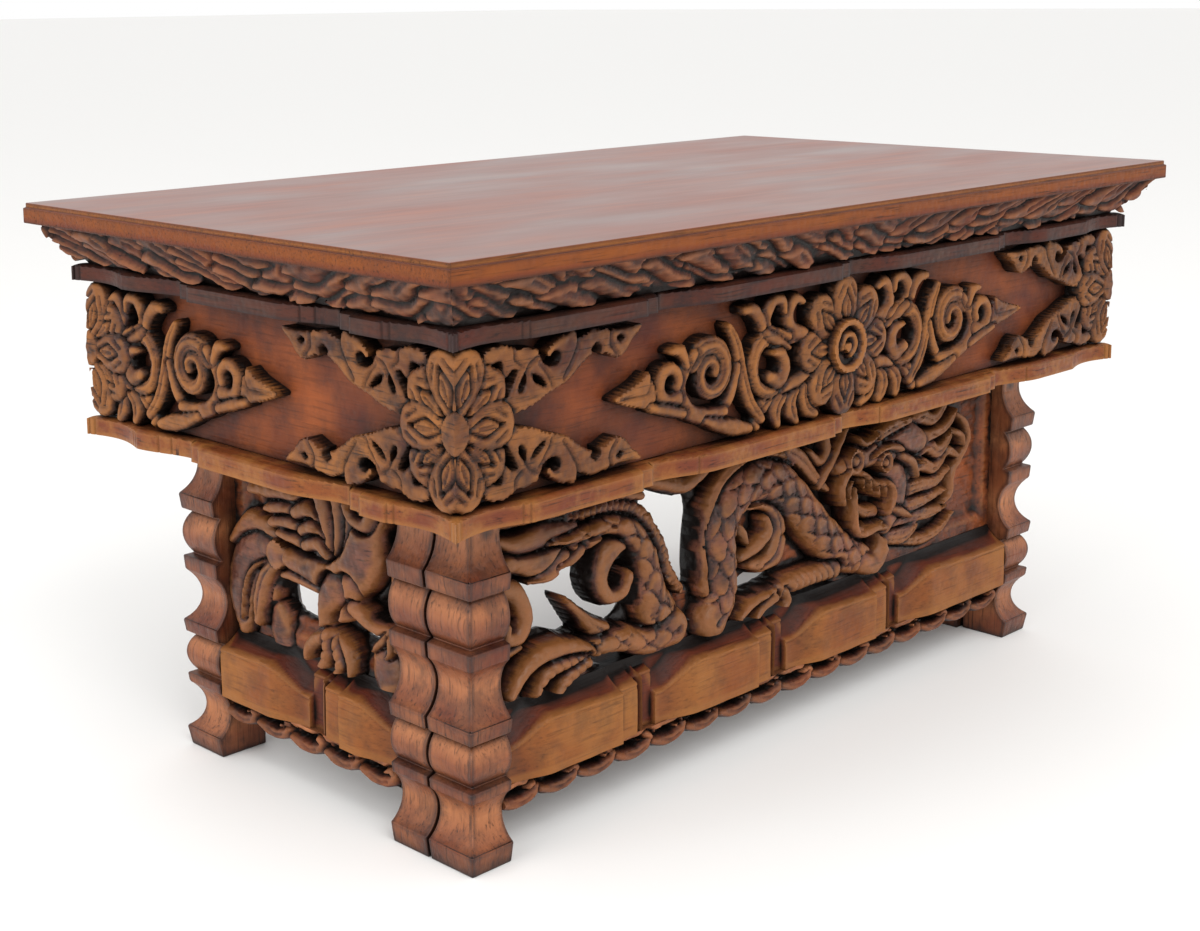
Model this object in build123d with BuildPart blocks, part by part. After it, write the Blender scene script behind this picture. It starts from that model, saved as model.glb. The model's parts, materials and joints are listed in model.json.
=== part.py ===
"""Low carved altar table: a lift-off top on three carved, hinged leg panels.

Frame: origin at the middle of the footprint on the floor, X along the length,
front (dragon) panel towards -Y, Z up, millimetres.
"""
import os
from collections import namedtuple
from math import cos, hypot, radians, sin

from build123d import *

os.makedirs("parts", exist_ok=True)

# ---------------------------------------------------------------- overall sizes
table_length = 508.0
table_depth = 279.4
table_height = 254.0

# ---------------------------------------------------------------- top frame, from the top down
top_thickness = 9.0
bead_height = 2.2            # thin bead that runs round the top edge
bead_inset = 0.9
cornice_height = 18.0        # sloping leaf-carved band
cornice_lip = 1.5            # fascia overhang above the cornice
cornice_width = 38.0
upper_moulding_thickness = 7.6
frieze_height = 61.8
frieze_thickness = 13.0
lower_moulding_thickness = 8.6
upper_setback = 14.4         # each setback is measured inward from the table edge
lower_setback = 17.0
frieze_setback = 27.5
upper_moulding_width = 26.1
underframe_width = 62.0      # the lower moulding is also the frame that rests on the legs
glue_block_leg = 16.0
glue_block_clearance = 1.0

# bracket-shaped edge of the mouldings
moulding_grooves_front = (130.0, 257.0, 384.0)   # from the near front corner
moulding_grooves_side = (84.0, 189.0)
BracketEdge = namedtuple("BracketEdge", "sweep sweep_depth fillet step groove groove_depth")
moulding_edge = BracketEdge(34.0, 4.6, 9.0, 2.4, 2.6, 6.5)
corner_sweep_end = 40.0
corner_sweep_depth = 3.6

# ---------------------------------------------------------------- leg panels
base_end_setback = 47.0      # the legs stand in from the ends and faces of the top
base_face_setback = 42.7
panel_thickness = 26.0
front_leg_width = 23.0
side_leg_width = 21.5
rear_leg_width = 26.0
seam_gap = 1.5               # open joint between the front panel and each side panel
top_clearance = 0.3          # side panels stop this far under the top frame

# leg profile: how far each point of the scalloped outer face is set in
toe_inset = 1.5
cove_inset = 6.5
cove_end_inset = 1.3
bead_root_inset = 4.5
bead_crest_inset = 0.8
notch_height = 1.2
# its heights, above the foot for the lower bead and below the top for the upper one
lower_cove = (9.0, 30.6)
lower_bead = (36.0, 46.7, 53.7)
middle_cove_start = 60.7
middle_cove_end_depth = 64.0
upper_bead_depths = (56.3, 46.0, 36.4)
upper_cove_depth = 28.2

# rails, skirt and openwork
rail_bottom = 30.0
plaque_height = 24.0
ledge_height = 7.0
rail_face_inset = 1.5        # plaque faces lie just behind the widest part of the legs
ledge_front_inset = 4.0
ledge_back_inset = 11.0
front_bays = 4
side_bays = 2
plaque_edge = BracketEdge(24.0, 5.0, 7.5, 2.4, 4.5, 7.0)
skirt_drop = 8.5
skirt_face_inset = 6.0
skirt_thickness = 12.0
front_lobes = 16             # scallops along the lower edge of each skirt
side_lobes = 5
lobe_depth = 3.4
eyelet_length = 12.0
eyelet_height = 4.2
eyelet_drop = 4.8            # below the underside of the rail
top_rail_height = 8.0
top_rail_inset = 8.0
ground_inset = 13.0          # carved ground lies this far behind the leg face
relief_height = 10.5
relief_root = 2.0            # strips are rooted this deep in the ground
broad_stroke = 12.0          # wider strips rise in two steps
broad_steps = ((1.0, 0.62), (0.58, 1.0))         # share of the width, share of the relief
narrow_steps = ((1.0, 0.75),)

# applied carving on the frieze
carving_height = 10.0
scroll_height = 8.5
petal_count = 8
petal_widths = (7.0, 12.5, 3.0)
petal_stations = (8.0, 19.5, 28.5)
button_radius = 8.0
button_hollow = 3.0
button_height = 12.0
front_lozenge_reach = 150.0  # from the middle of the flower to the tip
side_lozenge_reach = 138.0
corner_arm_reach = 105.0

# Carved figures are drawn on grids, which stretch to the boards they fill.
Grid = namedtuple("Grid", "left right bottom top")
lozenge_grid = Grid(0, 150, -31, 31)
corner_arm_grid = Grid(0, 105, -31, 31)
dragon_grid = Grid(-184, 184, 61, 141)
bird_grid = Grid(-71, 48, 61, 141)
volute_steps = 6             # straight stretches per turn of a small scroll

# ---------------------------------------------------------------- hinges and pegs
knuckle_radius = 2.7
knuckle_gap = 0.3            # knuckle to wood
pin_radius = 1.0
pin_clearance = 0.05
leaf_thickness = 1.2
leaf_width = 19.0
hinge_height = 22.0
knuckle_end_gap = 0.15
knuckle_sides = 8            # rolled knuckles and screws are kept to a few flat faces
screw_sides = 6
lower_hinge_rise = 7.5       # above the underside of the bottom rail
upper_hinge_drop = 8.5       # below the top of the front panel
screw_shank_radius = 1.2
screw_head_radius = 2.2
screw_head_height = 0.8
screw_length = 8.0
screw_clearance = 0.1
screw_edge = 5.0
screw_reach = 13.0
peg_size = 6.0               # square pegs that locate the lift-off top
peg_length = 20.0
peg_stand = 6.0
peg_end_inset = 16.0         # from the end face of a front leg
peg_face_inset = 11.5        # from its front face
peg_fit = 0.05
peg_hole_clearance = 0.3
peg_end_clearance = 0.6

# ---------------------------------------------------------------- derived levels and faces
top_bottom = table_height - top_thickness
cornice_bottom = top_bottom - cornice_height
frieze_top = cornice_bottom - upper_moulding_thickness
frieze_bottom = frieze_top - frieze_height
base_height = frieze_bottom - lower_moulding_thickness
frieze_middle = (frieze_top + frieze_bottom) / 2
half_length = table_length / 2
half_depth = table_depth / 2
base_x = half_length - base_end_setback
base_y = half_depth - base_face_setback
plaque_top = rail_bottom + plaque_height
rail_top = plaque_top + ledge_height
side_height = base_height - top_clearance
front_back = -base_y + panel_thickness          # back face of the front panel
side_inner = base_x - panel_thickness           # inner face of a side panel
front_leg_inner = base_x - front_leg_width
side_front = front_back + seam_gap              # front edge of a side panel
side_leg_inner = side_front + side_leg_width
rear_leg_inner = base_y - rear_leg_width
hinge_offset = knuckle_radius + knuckle_gap
hinge_x = side_inner - hinge_offset
hinge_y = front_back + hinge_offset
hinge_bases = (rail_bottom + lower_hinge_rise, base_height - upper_hinge_drop - hinge_height)
peg_x = base_x - peg_end_inset
peg_y = base_y - peg_face_inset
frieze_x = half_length - frieze_setback
frieze_y = half_depth - frieze_setback
carving_x = frieze_x + carving_height           # carved arris of the frieze
carving_y = frieze_y + carving_height

# ---------------------------------------------------------------- working planes
# Seen from outside, local x runs to the right and local y runs up or towards the middle.


side_direction = {"front": (1, 0, 0), "left": (0, -1, 0), "back": (-1, 0, 0)}


def plan_plane(side, height):
    """Level plane whose local -y edge is the named side of the table."""
    return Plane(origin=(0, 0, height), x_dir=side_direction[side], z_dir=(0, 0, 1))


def section_plane(side):
    """Upright plane across the named side, with local x outwards and local y up."""
    x, y, z = side_direction[side]
    return Plane(origin=(0, 0, 0), x_dir=(y, -x, 0), z_dir=(-x, -y, 0))


def front_plane(inset):
    """Upright plane facing the front, set in from the legs' front face."""
    return Plane(origin=(0, -base_y + inset, 0), x_dir=(1, 0, 0), z_dir=(0, -1, 0))


def side_plane(inset):
    """Upright plane facing the left end, set in from the legs' outer face."""
    return Plane(origin=(-base_x + inset, 0, 0), x_dir=(0, -1, 0), z_dir=(-1, 0, 0))


# ---------------------------------------------------------------- shared shapes


def mitred_outline(run, reach, width):
    """Plan of a frame member: outer edge at local y = -reach, ends mitred at 45 degrees."""
    with BuildLine() as edges:
        Polyline((-run, -reach), (run, -reach), (run - width, width - reach),
                 (width - run, width - reach), close=True)
    make_face(edges.edges())


def ogee(start, end, reach, sign, depth):
    """Double curve from the given depth at start out to the edge at end."""
    middle = (sign * (start + end) / 2, depth / 2 - reach)
    TangentArc((sign * start, depth - reach), middle, tangent=(sign, 0))
    TangentArc((sign * end, -reach), middle, tangent=(-sign, 0))


def bracket_bay(start, end, reach, sign, edge):
    """One bay of a bracket edge: ogee sweep out, flat, step back, fillet and groove."""
    flat_end = end - edge.groove - edge.fillet
    groove_start = end - edge.groove
    ogee(start, start + edge.sweep, reach, sign, edge.sweep_depth)
    Polyline((sign * (start + edge.sweep), -reach), (sign * flat_end, -reach),
             (sign * flat_end, edge.step - reach), (sign * groove_start, edge.step - reach),
             (sign * groove_start, edge.groove_depth - reach),
             (sign * end, edge.groove_depth - reach))


def bay_step(at, reach, sign, edge):
    """Short step from the floor of a groove to the start of the next sweep."""
    Line((sign * at, edge.groove_depth - reach), (sign * at, edge.sweep_depth - reach))


def moulding_outline(run, reach, width, grooves, sign):
    """Plan of a moulding whose bays start at the corner at local x = -sign * run."""
    edge = moulding_edge
    stops = [groove - run for groove in grooves]
    sweep_end = corner_sweep_end - run
    flat_end = stops[0] - edge.groove - edge.fillet
    groove_start = stops[0] - edge.groove
    with BuildLine() as edges:
        ThreePointArc((-sign * run, -reach),
                      (sign * (corner_sweep_end / 2 - run), corner_sweep_depth - reach),
                      (sign * sweep_end, -reach))
        Polyline((sign * sweep_end, -reach), (sign * flat_end, -reach),
                 (sign * flat_end, edge.step - reach), (sign * groove_start, edge.step - reach),
                 (sign * groove_start, edge.groove_depth - reach),
                 (sign * stops[0], edge.groove_depth - reach))
        for start, end in zip(stops[:-1], stops[1:]):
            bay_step(start, reach, sign, edge)
            bracket_bay(start, end, reach, sign, edge)
        bay_step(stops[-1], reach, sign, edge)
        ogee(stops[-1], run, reach, sign, edge.sweep_depth)
        Polyline((sign * run, -reach), (sign * (run - width), width - reach),
                 (sign * (width - run), width - reach), (-sign * run, -reach))
    make_face(edges.edges())


def ribbon(points, widths):
    """Face of a tapering strip that follows a bent centre line."""
    sides = ([], [])
    for index, (x, y) in enumerate(points):
        before = points[max(index - 1, 0)]
        after = points[min(index + 1, len(points) - 1)]
        run, rise = after[0] - before[0], after[1] - before[1]
        length = hypot(run, rise)
        reach = widths[index] / 2
        for side, sign in zip(sides, (1, -1)):
            side.append((x - sign * reach * rise / length, y + sign * reach * run / length))
    with BuildLine() as edges:
        Polyline(*sides[0], *reversed(sides[1]), close=True)
    make_face(edges.edges())


def stroke(plane, points, widths, height):
    """Carved strip on a ground plane: one low step, or two where the strip is broad."""
    broad = max(widths) > broad_stroke
    for width_share, height_share in (broad_steps if broad else narrow_steps):
        with BuildSketch(plane.offset(-relief_root)) as section:
            ribbon(points, [width_share * width for width in widths])
        extrude(section.sketch, amount=relief_root + height_share * height)


def volute(centre, outer, inner, start, turns):
    """Centre line of a scroll that winds inward; angles in degrees, turns signed."""
    steps = round(abs(turns) * volute_steps)
    line = []
    for step in range(steps + 1):
        share = step / steps
        angle = radians(start + 360 * turns * share)
        radius = outer + (inner - outer) * share
        line.append((centre[0] + radius * cos(angle), centre[1] + radius * sin(angle)))
    return line


def taper(count, first, last):
    """Widths that change evenly from first to last."""
    return [first + (last - first) * step / (count - 1) for step in range(count)]


def pierced_form(points):
    """Opening cut through the current sketch."""
    with BuildLine() as edges:
        Polyline(*points, close=True)
    make_face(edges.edges(), mode=Mode.SUBTRACT)


# ================================================================ top body
with BuildPart() as top_board:
    with BuildSketch(Plane.XY.offset(top_bottom)):
        Rectangle(table_length, table_depth)
    extrude(amount=top_thickness - bead_height)
    with BuildSketch(Plane.XY.offset(table_height - bead_height)):
        Rectangle(table_length - 2 * bead_inset, table_depth - 2 * bead_inset)
    extrude(amount=bead_height)
top_board.part.label = "top_board"
export_step(top_board.part, "parts/top_board.step")

member_reach = {"front": (half_length, half_depth), "left": (half_depth, half_length)}
grooves_of = {"front": moulding_grooves_front, "left": moulding_grooves_side}
bay_sign = {"front": 1, "left": -1}
opposite = {"front": ("back", Plane.XZ), "left": ("right", Plane.YZ)}


def write_pair(piece, side, name):
    """Write a frame member and its mirror image on the far side of the table."""
    far_side, mirror_plane = opposite[side]
    piece.part.label = f"{name}_{side}"
    export_step(piece.part, f"parts/{name}_{side}.step")
    with BuildPart() as far_piece:
        mirror(piece.part, about=mirror_plane)
    far_piece.part.label = f"{name}_{far_side}"
    export_step(far_piece.part, f"parts/{name}_{far_side}.step")


for side in ("front", "left"):
    run, reach = member_reach[side]
    sign = bay_sign[side]

    with BuildPart() as cornice:
        with BuildSketch(section_plane(side)):
            with BuildLine():
                Polyline((reach - upper_setback, cornice_bottom), (reach - cornice_lip, top_bottom),
                         (reach - cornice_width, top_bottom),
                         (reach - cornice_width, cornice_bottom), close=True)
            make_face()
        extrude(amount=run, both=True)
        with BuildSketch(plan_plane(side, cornice_bottom)):
            mitred_outline(run, reach, cornice_width)
        extrude(amount=cornice_height, mode=Mode.INTERSECT)
    write_pair(cornice, side, "cornice")

    with BuildPart() as upper_moulding:
        with BuildSketch(plan_plane(side, frieze_top)):
            moulding_outline(run - upper_setback, reach - upper_setback,
                             upper_moulding_width, grooves_of[side], sign)
        extrude(amount=upper_moulding_thickness)
    write_pair(upper_moulding, side, "upper_moulding")

    with BuildPart() as frieze:
        with BuildSketch(plan_plane(side, frieze_bottom)):
            mitred_outline(run - frieze_setback, reach - frieze_setback, frieze_thickness)
        extrude(amount=frieze_height)
    write_pair(frieze, side, "frieze")

    with BuildPart() as underframe:
        with BuildSketch(plan_plane(side, base_height)):
            moulding_outline(run - lower_setback, reach - lower_setback,
                             underframe_width, grooves_of[side], sign)
        extrude(amount=lower_moulding_thickness)
    write_pair(underframe, side, "lower_moulding")

    if side == "front":
        front_underframe = underframe

with BuildPart() as mortised_underframe:
    add(front_underframe.part)
    hole = peg_size + 2 * peg_hole_clearance
    with Locations((-peg_x, -peg_y, base_height), (peg_x, -peg_y, base_height)):
        Box(hole, hole, peg_stand + peg_end_clearance,
            align=(Align.CENTER, Align.CENTER, Align.MIN), mode=Mode.SUBTRACT)
mortised_underframe.part.label = "lower_moulding_front"
export_step(mortised_underframe.part, "parts/lower_moulding_front.step")

with BuildPart() as glue_blocks:
    block_x = half_length - frieze_setback - frieze_thickness
    block_y = half_depth - frieze_setback - frieze_thickness
    with BuildSketch(Plane.XY.offset(frieze_bottom)):
        for x in (-1, 1):
            for y in (-1, 1):
                with BuildLine() as corner:
                    Polyline((x * block_x, y * block_y), (x * (block_x - glue_block_leg), y * block_y),
                             (x * block_x, y * (block_y - glue_block_leg)), close=True)
                make_face(corner.edges())
    extrude(amount=frieze_height - glue_block_clearance)
glue_blocks.part.label = "corner_glue_blocks"
export_step(glue_blocks.part, "parts/corner_glue_blocks.step")


# ================================================================ frieze carvings (top body)


def flower(centre):
    """Flower of pointed petals in the current sketch."""
    for petal in range(petal_count):
        angle = radians(360 / petal_count * (petal + 0.5))
        spine = [(centre[0] + r * cos(angle), centre[1] + r * sin(angle)) for r in petal_stations]
        ribbon(spine, petal_widths)
    with Locations(centre):
        RegularPolygon(petal_stations[0] + petal_widths[0] / 2, petal_count)


class FriezeDrawing:
    """Draws one arm of frieze carving on a grid stretched from a flower to the arm's tip."""

    def __init__(self, grid, centre_x, reach, sign):
        self.centre_x = centre_x
        self.column = sign * reach / (grid.right - grid.left)
        self.row = frieze_height / (grid.top - grid.bottom)
        self.sign = sign

    def place(self, u, v):
        return (self.centre_x + self.column * u, frieze_middle + self.row * v)

    def strip(self, points, widths):
        ribbon([self.place(*point) for point in points], [self.row * width for width in widths])

    def scroll(self, centre, outer, inner, start, turns, widths):
        line = volute(self.place(*centre), self.row * outer, self.row * inner, start,
                      self.sign * turns)
        first, last = widths
        ribbon(line, taper(len(line), self.row * first, self.row * last))


def lozenge_arm(centre_x, reach, sign):
    """Half of a pointed scroll panel, from the flower to its tip."""
    arm = FriezeDrawing(lozenge_grid, centre_x, reach, sign)
    for up in (1, -1):
        arm.strip([(20, 14 * up), (50, 23 * up), (98, 15 * up), (150, 0)], (9, 8, 8, 2))
    arm.scroll((53, 1), 17, 4.5, 90, -1.2, (7, 4.5))
    arm.scroll((89, -1), 14, 4, 90, 1.2, (6.5, 4))
    arm.scroll((118, -1), 7, 3, 90, 0.7, (5, 3.5))


def corner_arms(centre_x, sign):
    """Two leafy scroll arms that run from a corner flower along the frieze."""
    arm = FriezeDrawing(corner_arm_grid, centre_x, corner_arm_reach, sign)
    for up in (1, -1):
        arm.strip([(18, 11 * up), (56, 10 * up), (88, 18 * up), (105, 25 * up)], (10, 8, 7, 3))
        arm.scroll((40, 19 * up), 8, 3.5, -90 * up, 0.8 * up, (5, 4))
        arm.scroll((62, 19.5 * up), 7.5, 3.5, -90 * up, 0.8 * up, (5, 4))
        arm.scroll((84, 22 * up), 5, 3, -90 * up, 0.7 * up, (3.6, 3))


def carving_plane(side):
    """Face of the frieze on the named side, with local y upwards."""
    faces = {"front": ((0, -frieze_y, 0), (1, 0, 0), (0, -1, 0)),
             "left": ((-frieze_x, 0, 0), (0, -1, 0), (-1, 0, 0)),
             "back": ((0, frieze_y, 0), (-1, 0, 0), (0, 1, 0))}
    origin, along, facing = faces[side]
    return Plane(origin=origin, x_dir=along, z_dir=facing)


def mitre_corner(side, corner, sign):
    """Cut a corner carving back to the plane that bisects the frieze corner."""
    run = frieze_x if side != "left" else frieze_y
    reach = frieze_y if side != "left" else frieze_x
    waste = 3 * petal_stations[-1]
    with BuildSketch(plan_plane(side, frieze_bottom)) as wedge:
        with BuildLine() as edges:
            Polyline((corner * run, -reach), (corner * (run + waste), -reach - waste),
                     (corner * (run + waste), -reach), close=True)
        make_face(edges.edges())
    extrude(wedge.sketch, amount=frieze_height, mode=Mode.SUBTRACT)


def corner_carving(side, corner, draw_arms):
    """Half flower on the arris at local x = corner * run, with its scroll arms."""
    run = carving_x if side != "left" else carving_y
    with BuildPart() as carving:
        with BuildSketch(carving_plane(side)):
            draw_arms(corner * run, -corner)
        extrude(amount=scroll_height)
        with BuildSketch(carving_plane(side)):
            flower((corner * run, frieze_middle))
        extrude(amount=carving_height)
        mitre_corner(side, corner, corner)
    return carving


def write(piece, name):
    """Label a finished piece and write its STEP file."""
    piece.part.label = name
    export_step(piece.part, f"parts/{name}.step")


def write_mirrored(piece, name, mirror_plane=Plane.YZ):
    """Write the mirror image of a finished piece."""
    with BuildPart() as twin:
        mirror(piece.part, about=mirror_plane)
    write(twin, name)


with BuildPart() as front_lozenge:
    with BuildSketch(carving_plane("front")):
        lozenge_arm(0, front_lozenge_reach, 1)
        lozenge_arm(0, front_lozenge_reach, -1)
    extrude(amount=scroll_height)
    with BuildSketch(carving_plane("front")):
        flower((0, frieze_middle))
    extrude(amount=carving_height)
    with BuildSketch(carving_plane("front")):
        with Locations((0, frieze_middle)):
            RegularPolygon(button_radius, 2 * petal_count)
            RegularPolygon(button_hollow, petal_count, mode=Mode.SUBTRACT)
    extrude(amount=button_height)
write(front_lozenge, "carving_front_centre")

front_corner = corner_carving("front", -1, corner_arms)
write(front_corner, "carving_front_left_corner")
write_mirrored(front_corner, "carving_front_right_corner")

side_corner = corner_carving("left", 1, corner_arms)
write(side_corner, "carving_left_front_corner")
write_mirrored(side_corner, "carving_right_front_corner")

side_lozenge = corner_carving("left", -1,
                              lambda x, sign: lozenge_arm(x, side_lozenge_reach, sign))
write(side_lozenge, "carving_left_rear_corner")
write_mirrored(side_lozenge, "carving_right_rear_corner")

back_corner = corner_carving("back", 1,
                             lambda x, sign: lozenge_arm(x, side_lozenge_reach, sign))
write(back_corner, "carving_back_left_corner")
write_mirrored(back_corner, "carving_back_right_corner")


# ================================================================ leg panels


def leg_outline(thickness, top):
    """Upright section of a leg: scalloped face at local x = 0, flat back at x = thickness."""
    upper_bead = [top - depth for depth in upper_bead_depths]
    middle_cove = (middle_cove_start, top - middle_cove_end_depth)
    coves = (lower_cove, middle_cove, (top - upper_cove_depth, top))
    with BuildLine() as edges:
        Line((toe_inset, 0), (0, lower_cove[0]))
        for start, end in coves:
            ThreePointArc((0, start), (cove_inset, (start + end) / 2), (cove_end_inset, end))
        for below, bead, above in zip(coves, (lower_bead, upper_bead), coves[1:]):
            bead_start, crest, bead_end = bead
            Polyline((cove_end_inset, below[1]), (bead_crest_inset, bead_start - notch_height),
                     (bead_root_inset, bead_start))
            ThreePointArc((bead_root_inset, bead_start), (bead_crest_inset, crest),
                          (bead_root_inset, bead_end))
            Polyline((bead_root_inset, bead_end), (bead_crest_inset, bead_end + notch_height),
                     (0, above[0]))
        Polyline((cove_end_inset, top), (thickness, top), (thickness, 0), (toe_inset, 0))
    make_face(edges.edges())


def corner_leg(y, width, top, mitred_face):
    """Leg at x = -base_x, from y forward by width, scalloped on two faces."""
    with BuildPart() as leg:
        with BuildSketch(Plane(origin=(-base_x, y, 0), x_dir=(1, 0, 0), z_dir=(0, -1, 0))):
            leg_outline(front_leg_width if mitred_face == "front" else panel_thickness, top)
        extrude(amount=width)
        if mitred_face:
            reach = panel_thickness if mitred_face == "front" else width
            inward = (0, 1, 0) if mitred_face == "front" else (0, -1, 0)
            face_y = -base_y if mitred_face == "front" else base_y
            with BuildSketch(Plane(origin=(-base_x, face_y, 0), x_dir=inward,
                                   z_dir=(inward[1], 0, 0))):
                leg_outline(reach, top)
            extrude(amount=inward[1] * panel_thickness, mode=Mode.INTERSECT)
    return leg


def rail_outline(start, end, reach, back, bays, sign):
    """Plan of a bottom rail with one bracket-edged plaque per bay."""
    pitch = (end - start) / bays
    edge = plaque_edge
    with BuildLine() as edges:
        for bay in range(bays):
            if bay:
                bay_step(start + bay * pitch, reach, sign, edge)
            bracket_bay(start + bay * pitch, start + (bay + 1) * pitch, reach, sign, edge)
        Polyline((sign * end, edge.groove_depth - reach), (sign * end, back - reach),
                 (sign * start, back - reach), (sign * start, edge.sweep_depth - reach))
    make_face(edges.edges())


def bottom_rail(side, start, end, reach, bays, sign):
    """Rail between two legs: plaques, with a sloping ledge above them."""
    back = panel_thickness - rail_face_inset
    low, high = sorted((sign * start, sign * end))
    with BuildPart() as rail:
        with BuildSketch(plan_plane(side, rail_bottom)):
            rail_outline(start, end, reach - rail_face_inset, back, bays, sign)
        extrude(amount=plaque_top - rail_bottom)
        for height, inset in ((plaque_top, ledge_front_inset), (rail_top, ledge_back_inset)):
            with BuildSketch(plan_plane(side, height)):
                with Locations(((low + high) / 2, panel_thickness - reach)):
                    Rectangle(high - low, panel_thickness - inset,
                              align=(Align.CENTER, Align.MAX))
        loft(ruled=True)
    return rail


def skirt(plane, low, high, lobes):
    """Scalloped, pierced apron under a rail."""
    pitch = (high - low) / lobes
    base = rail_bottom - skirt_drop
    level = rail_bottom - eyelet_drop
    with BuildPart() as apron:
        with BuildSketch(plane):
            with BuildLine():
                for lobe in range(lobes):
                    left = low + lobe * pitch
                    Polyline((left, base), (left + 0.28 * pitch, base - lobe_depth),
                             (left + 0.72 * pitch, base - lobe_depth), (left + pitch, base))
                Polyline((high, base), (high, rail_bottom), (low, rail_bottom), (low, base))
            make_face()
            for lobe in range(lobes):
                middle = low + (lobe + 0.5) * pitch
                half, rise = eyelet_length / 2, eyelet_height / 2
                pierced_form([(middle - half, level - rise), (middle, level - rise / 2),
                              (middle + half, level + rise), (middle, level + rise / 2)])
        extrude(amount=-skirt_thickness)
    return apron


def top_rail(plane, low, high, top):
    """Slim rail that closes the openwork at the top."""
    with BuildPart() as rail:
        with BuildSketch(plane):
            with Locations(((low + high) / 2, top)):
                Rectangle(high - low, top_rail_height, align=(Align.CENTER, Align.MAX))
        extrude(amount=top_rail_inset - panel_thickness)
    return rail


def carved_panel(plane, low, high, top, grid, holes, strokes):
    """Pierced board with a carved figure standing on it, trimmed to the frame around it."""
    middle, length, height = (low + high) / 2, high - low, top - top_rail_height - rail_top
    lower_edge = (Align.CENTER, Align.MIN)
    column = length / (grid.right - grid.left)
    row = height / (grid.top - grid.bottom)

    def placed(points):
        return [(low + column * (x - grid.left), rail_top + row * (y - grid.bottom))
                for x, y in points]

    with BuildPart() as panel:
        with BuildSketch(plane) as ground:
            with Locations((middle, rail_top)):
                Rectangle(length, height, align=lower_edge)
            for hole in holes:
                pierced_form(placed(hole))
        extrude(amount=ground_inset - panel_thickness)
        for spine, widths in strokes:
            stroke(plane, placed(spine), [row * width for width in widths], relief_height)
        with BuildSketch(plane.offset(relief_height)) as window:
            with Locations((middle, rail_top)):
                Rectangle(length, height, align=lower_edge)
        extrude(window.sketch, amount=ground_inset - panel_thickness - relief_height,
                mode=Mode.INTERSECT)
    return panel


# Figures are drawn on their grids; each stroke is a spine with its widths.
dragon_holes = [
    [(-130, 119), (-134, 101), (-146, 104), (-136, 92), (-138, 83), (-157, 90), (-166, 112),
     (-147, 114)],
    [(-115, 92), (-108, 93), (-106, 87), (-112, 86)],
    [(-83, 135), (-66, 132), (-67, 114), (-62, 96), (-76, 101), (-76, 114), (-81, 124)],
    [(-121, 73), (-104, 71), (-90, 65), (-104, 63.5)],
    [(-21, 79), (-6, 83), (5, 80), (-10, 76.5)],
    [(19, 68), (41, 67), (43, 64), (22, 64)],
]
dragon_body = ([(-158, 130), (-137, 135), (-112, 134), (-96, 124), (-88, 106), (-78, 87),
                (-63, 73)], (4, 9, 14, 18, 21, 22, 19))
dragon_back = ([(-60, 70), (-50, 80), (-49, 98), (-42, 117), (-21, 129), (3, 124), (20, 107),
                (39, 89), (60, 76), (78, 79), (84, 94)], (16, 21, 24, 24, 24, 23, 22, 21, 20, 18, 15))
dragon_limbs = [
    ([(-74, 76), (-98, 78), (-118, 80), (-134, 74)], (20, 16, 12, 9)),
    ([(-128, 80), (-140, 72), (-150, 70)], (9, 11, 12)),
    ([(-146, 72), (-155, 70), (-161, 62)], (6, 5, 3)),
    ([(-146, 70), (-151, 64), (-152, 58)], (6, 5, 3)),
    ([(-143, 69), (-142, 63), (-144, 57)], (6, 5, 3)),
    ([(30, 82), (12, 76), (-6, 73), (-22, 72)], (13, 11, 9, 8)),
    ([(-20, 73), (-30, 70), (-36, 64)], (7, 5, 3)),
    ([(-20, 72), (-25, 66), (-27, 60)], (6, 5, 3)),
]
dragon_flames = [
    ([(-135, 126), (-152, 122), (-168, 124), (-182, 132)], (8, 14, 13, 7)),
    ([(-140, 138), (-160, 138), (-180, 138)], (5, 7, 6)),
    ([(-118, 121), (-127, 113), (-125, 103), (-114, 101), (-108, 110)], (4, 7, 8, 8, 4)),
    ([(-182, 117), (-170, 114), (-163, 104), (-168, 92), (-179, 92)], (6, 9, 9, 8, 5)),
    ([(-183, 84), (-172, 80), (-163, 86)], (8, 10, 5)),
    ([(-136, 84), (-143, 93), (-148, 103)], (9, 6, 3)),
    ([(-66, 84), (-66, 104), (-60, 122), (-42, 136), (-18, 140), (8, 136), (22, 126)],
     (4, 5, 5, 5, 5, 5, 4)),
    ([(-30, 100), (-22, 112), (-10, 108), (-8, 96), (-20, 88)], (4, 7, 8, 8, 4)),
]
dragon_head = [
    ([(84, 92), (94, 100), (108, 112), (118, 122)], (16, 24, 28, 20)),
    ([(112, 118), (96, 122), (82, 120), (72, 113)], (18, 15, 12, 7)),
    ([(92, 92), (80, 90), (68, 94)], (11, 8, 5)),
    ([(70, 100), (63, 92), (56, 94)], (4, 4, 3)),
    ([(100, 128), (88, 134), (78, 131)], (8, 7, 4)),
    ([(112, 128), (126, 138), (146, 137)], (8, 7, 3)),
    ([(118, 122), (136, 128), (152, 120), (168, 131)], (10, 9, 7, 3)),
    ([(118, 114), (138, 116), (152, 106), (170, 114)], (10, 9, 7, 3)),
    ([(112, 104), (134, 103), (148, 94), (168, 98)], (10, 9, 7, 3)),
    ([(104, 96), (124, 92), (138, 82), (160, 84)], (9, 8, 6, 3)),
    ([(98, 88), (110, 80), (122, 72), (140, 70)], (7, 6, 5, 3)),
]
bird_holes = [
    [(-36, 95), (-20, 91), (-17, 83), (-35, 84)],
    [(36, 130), (44, 133), (45, 126), (37, 121)],
    [(33, 106), (40, 101), (38, 95), (27, 96)],
    [(6, 86), (16, 85), (18, 81), (8, 80)],
]
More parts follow.
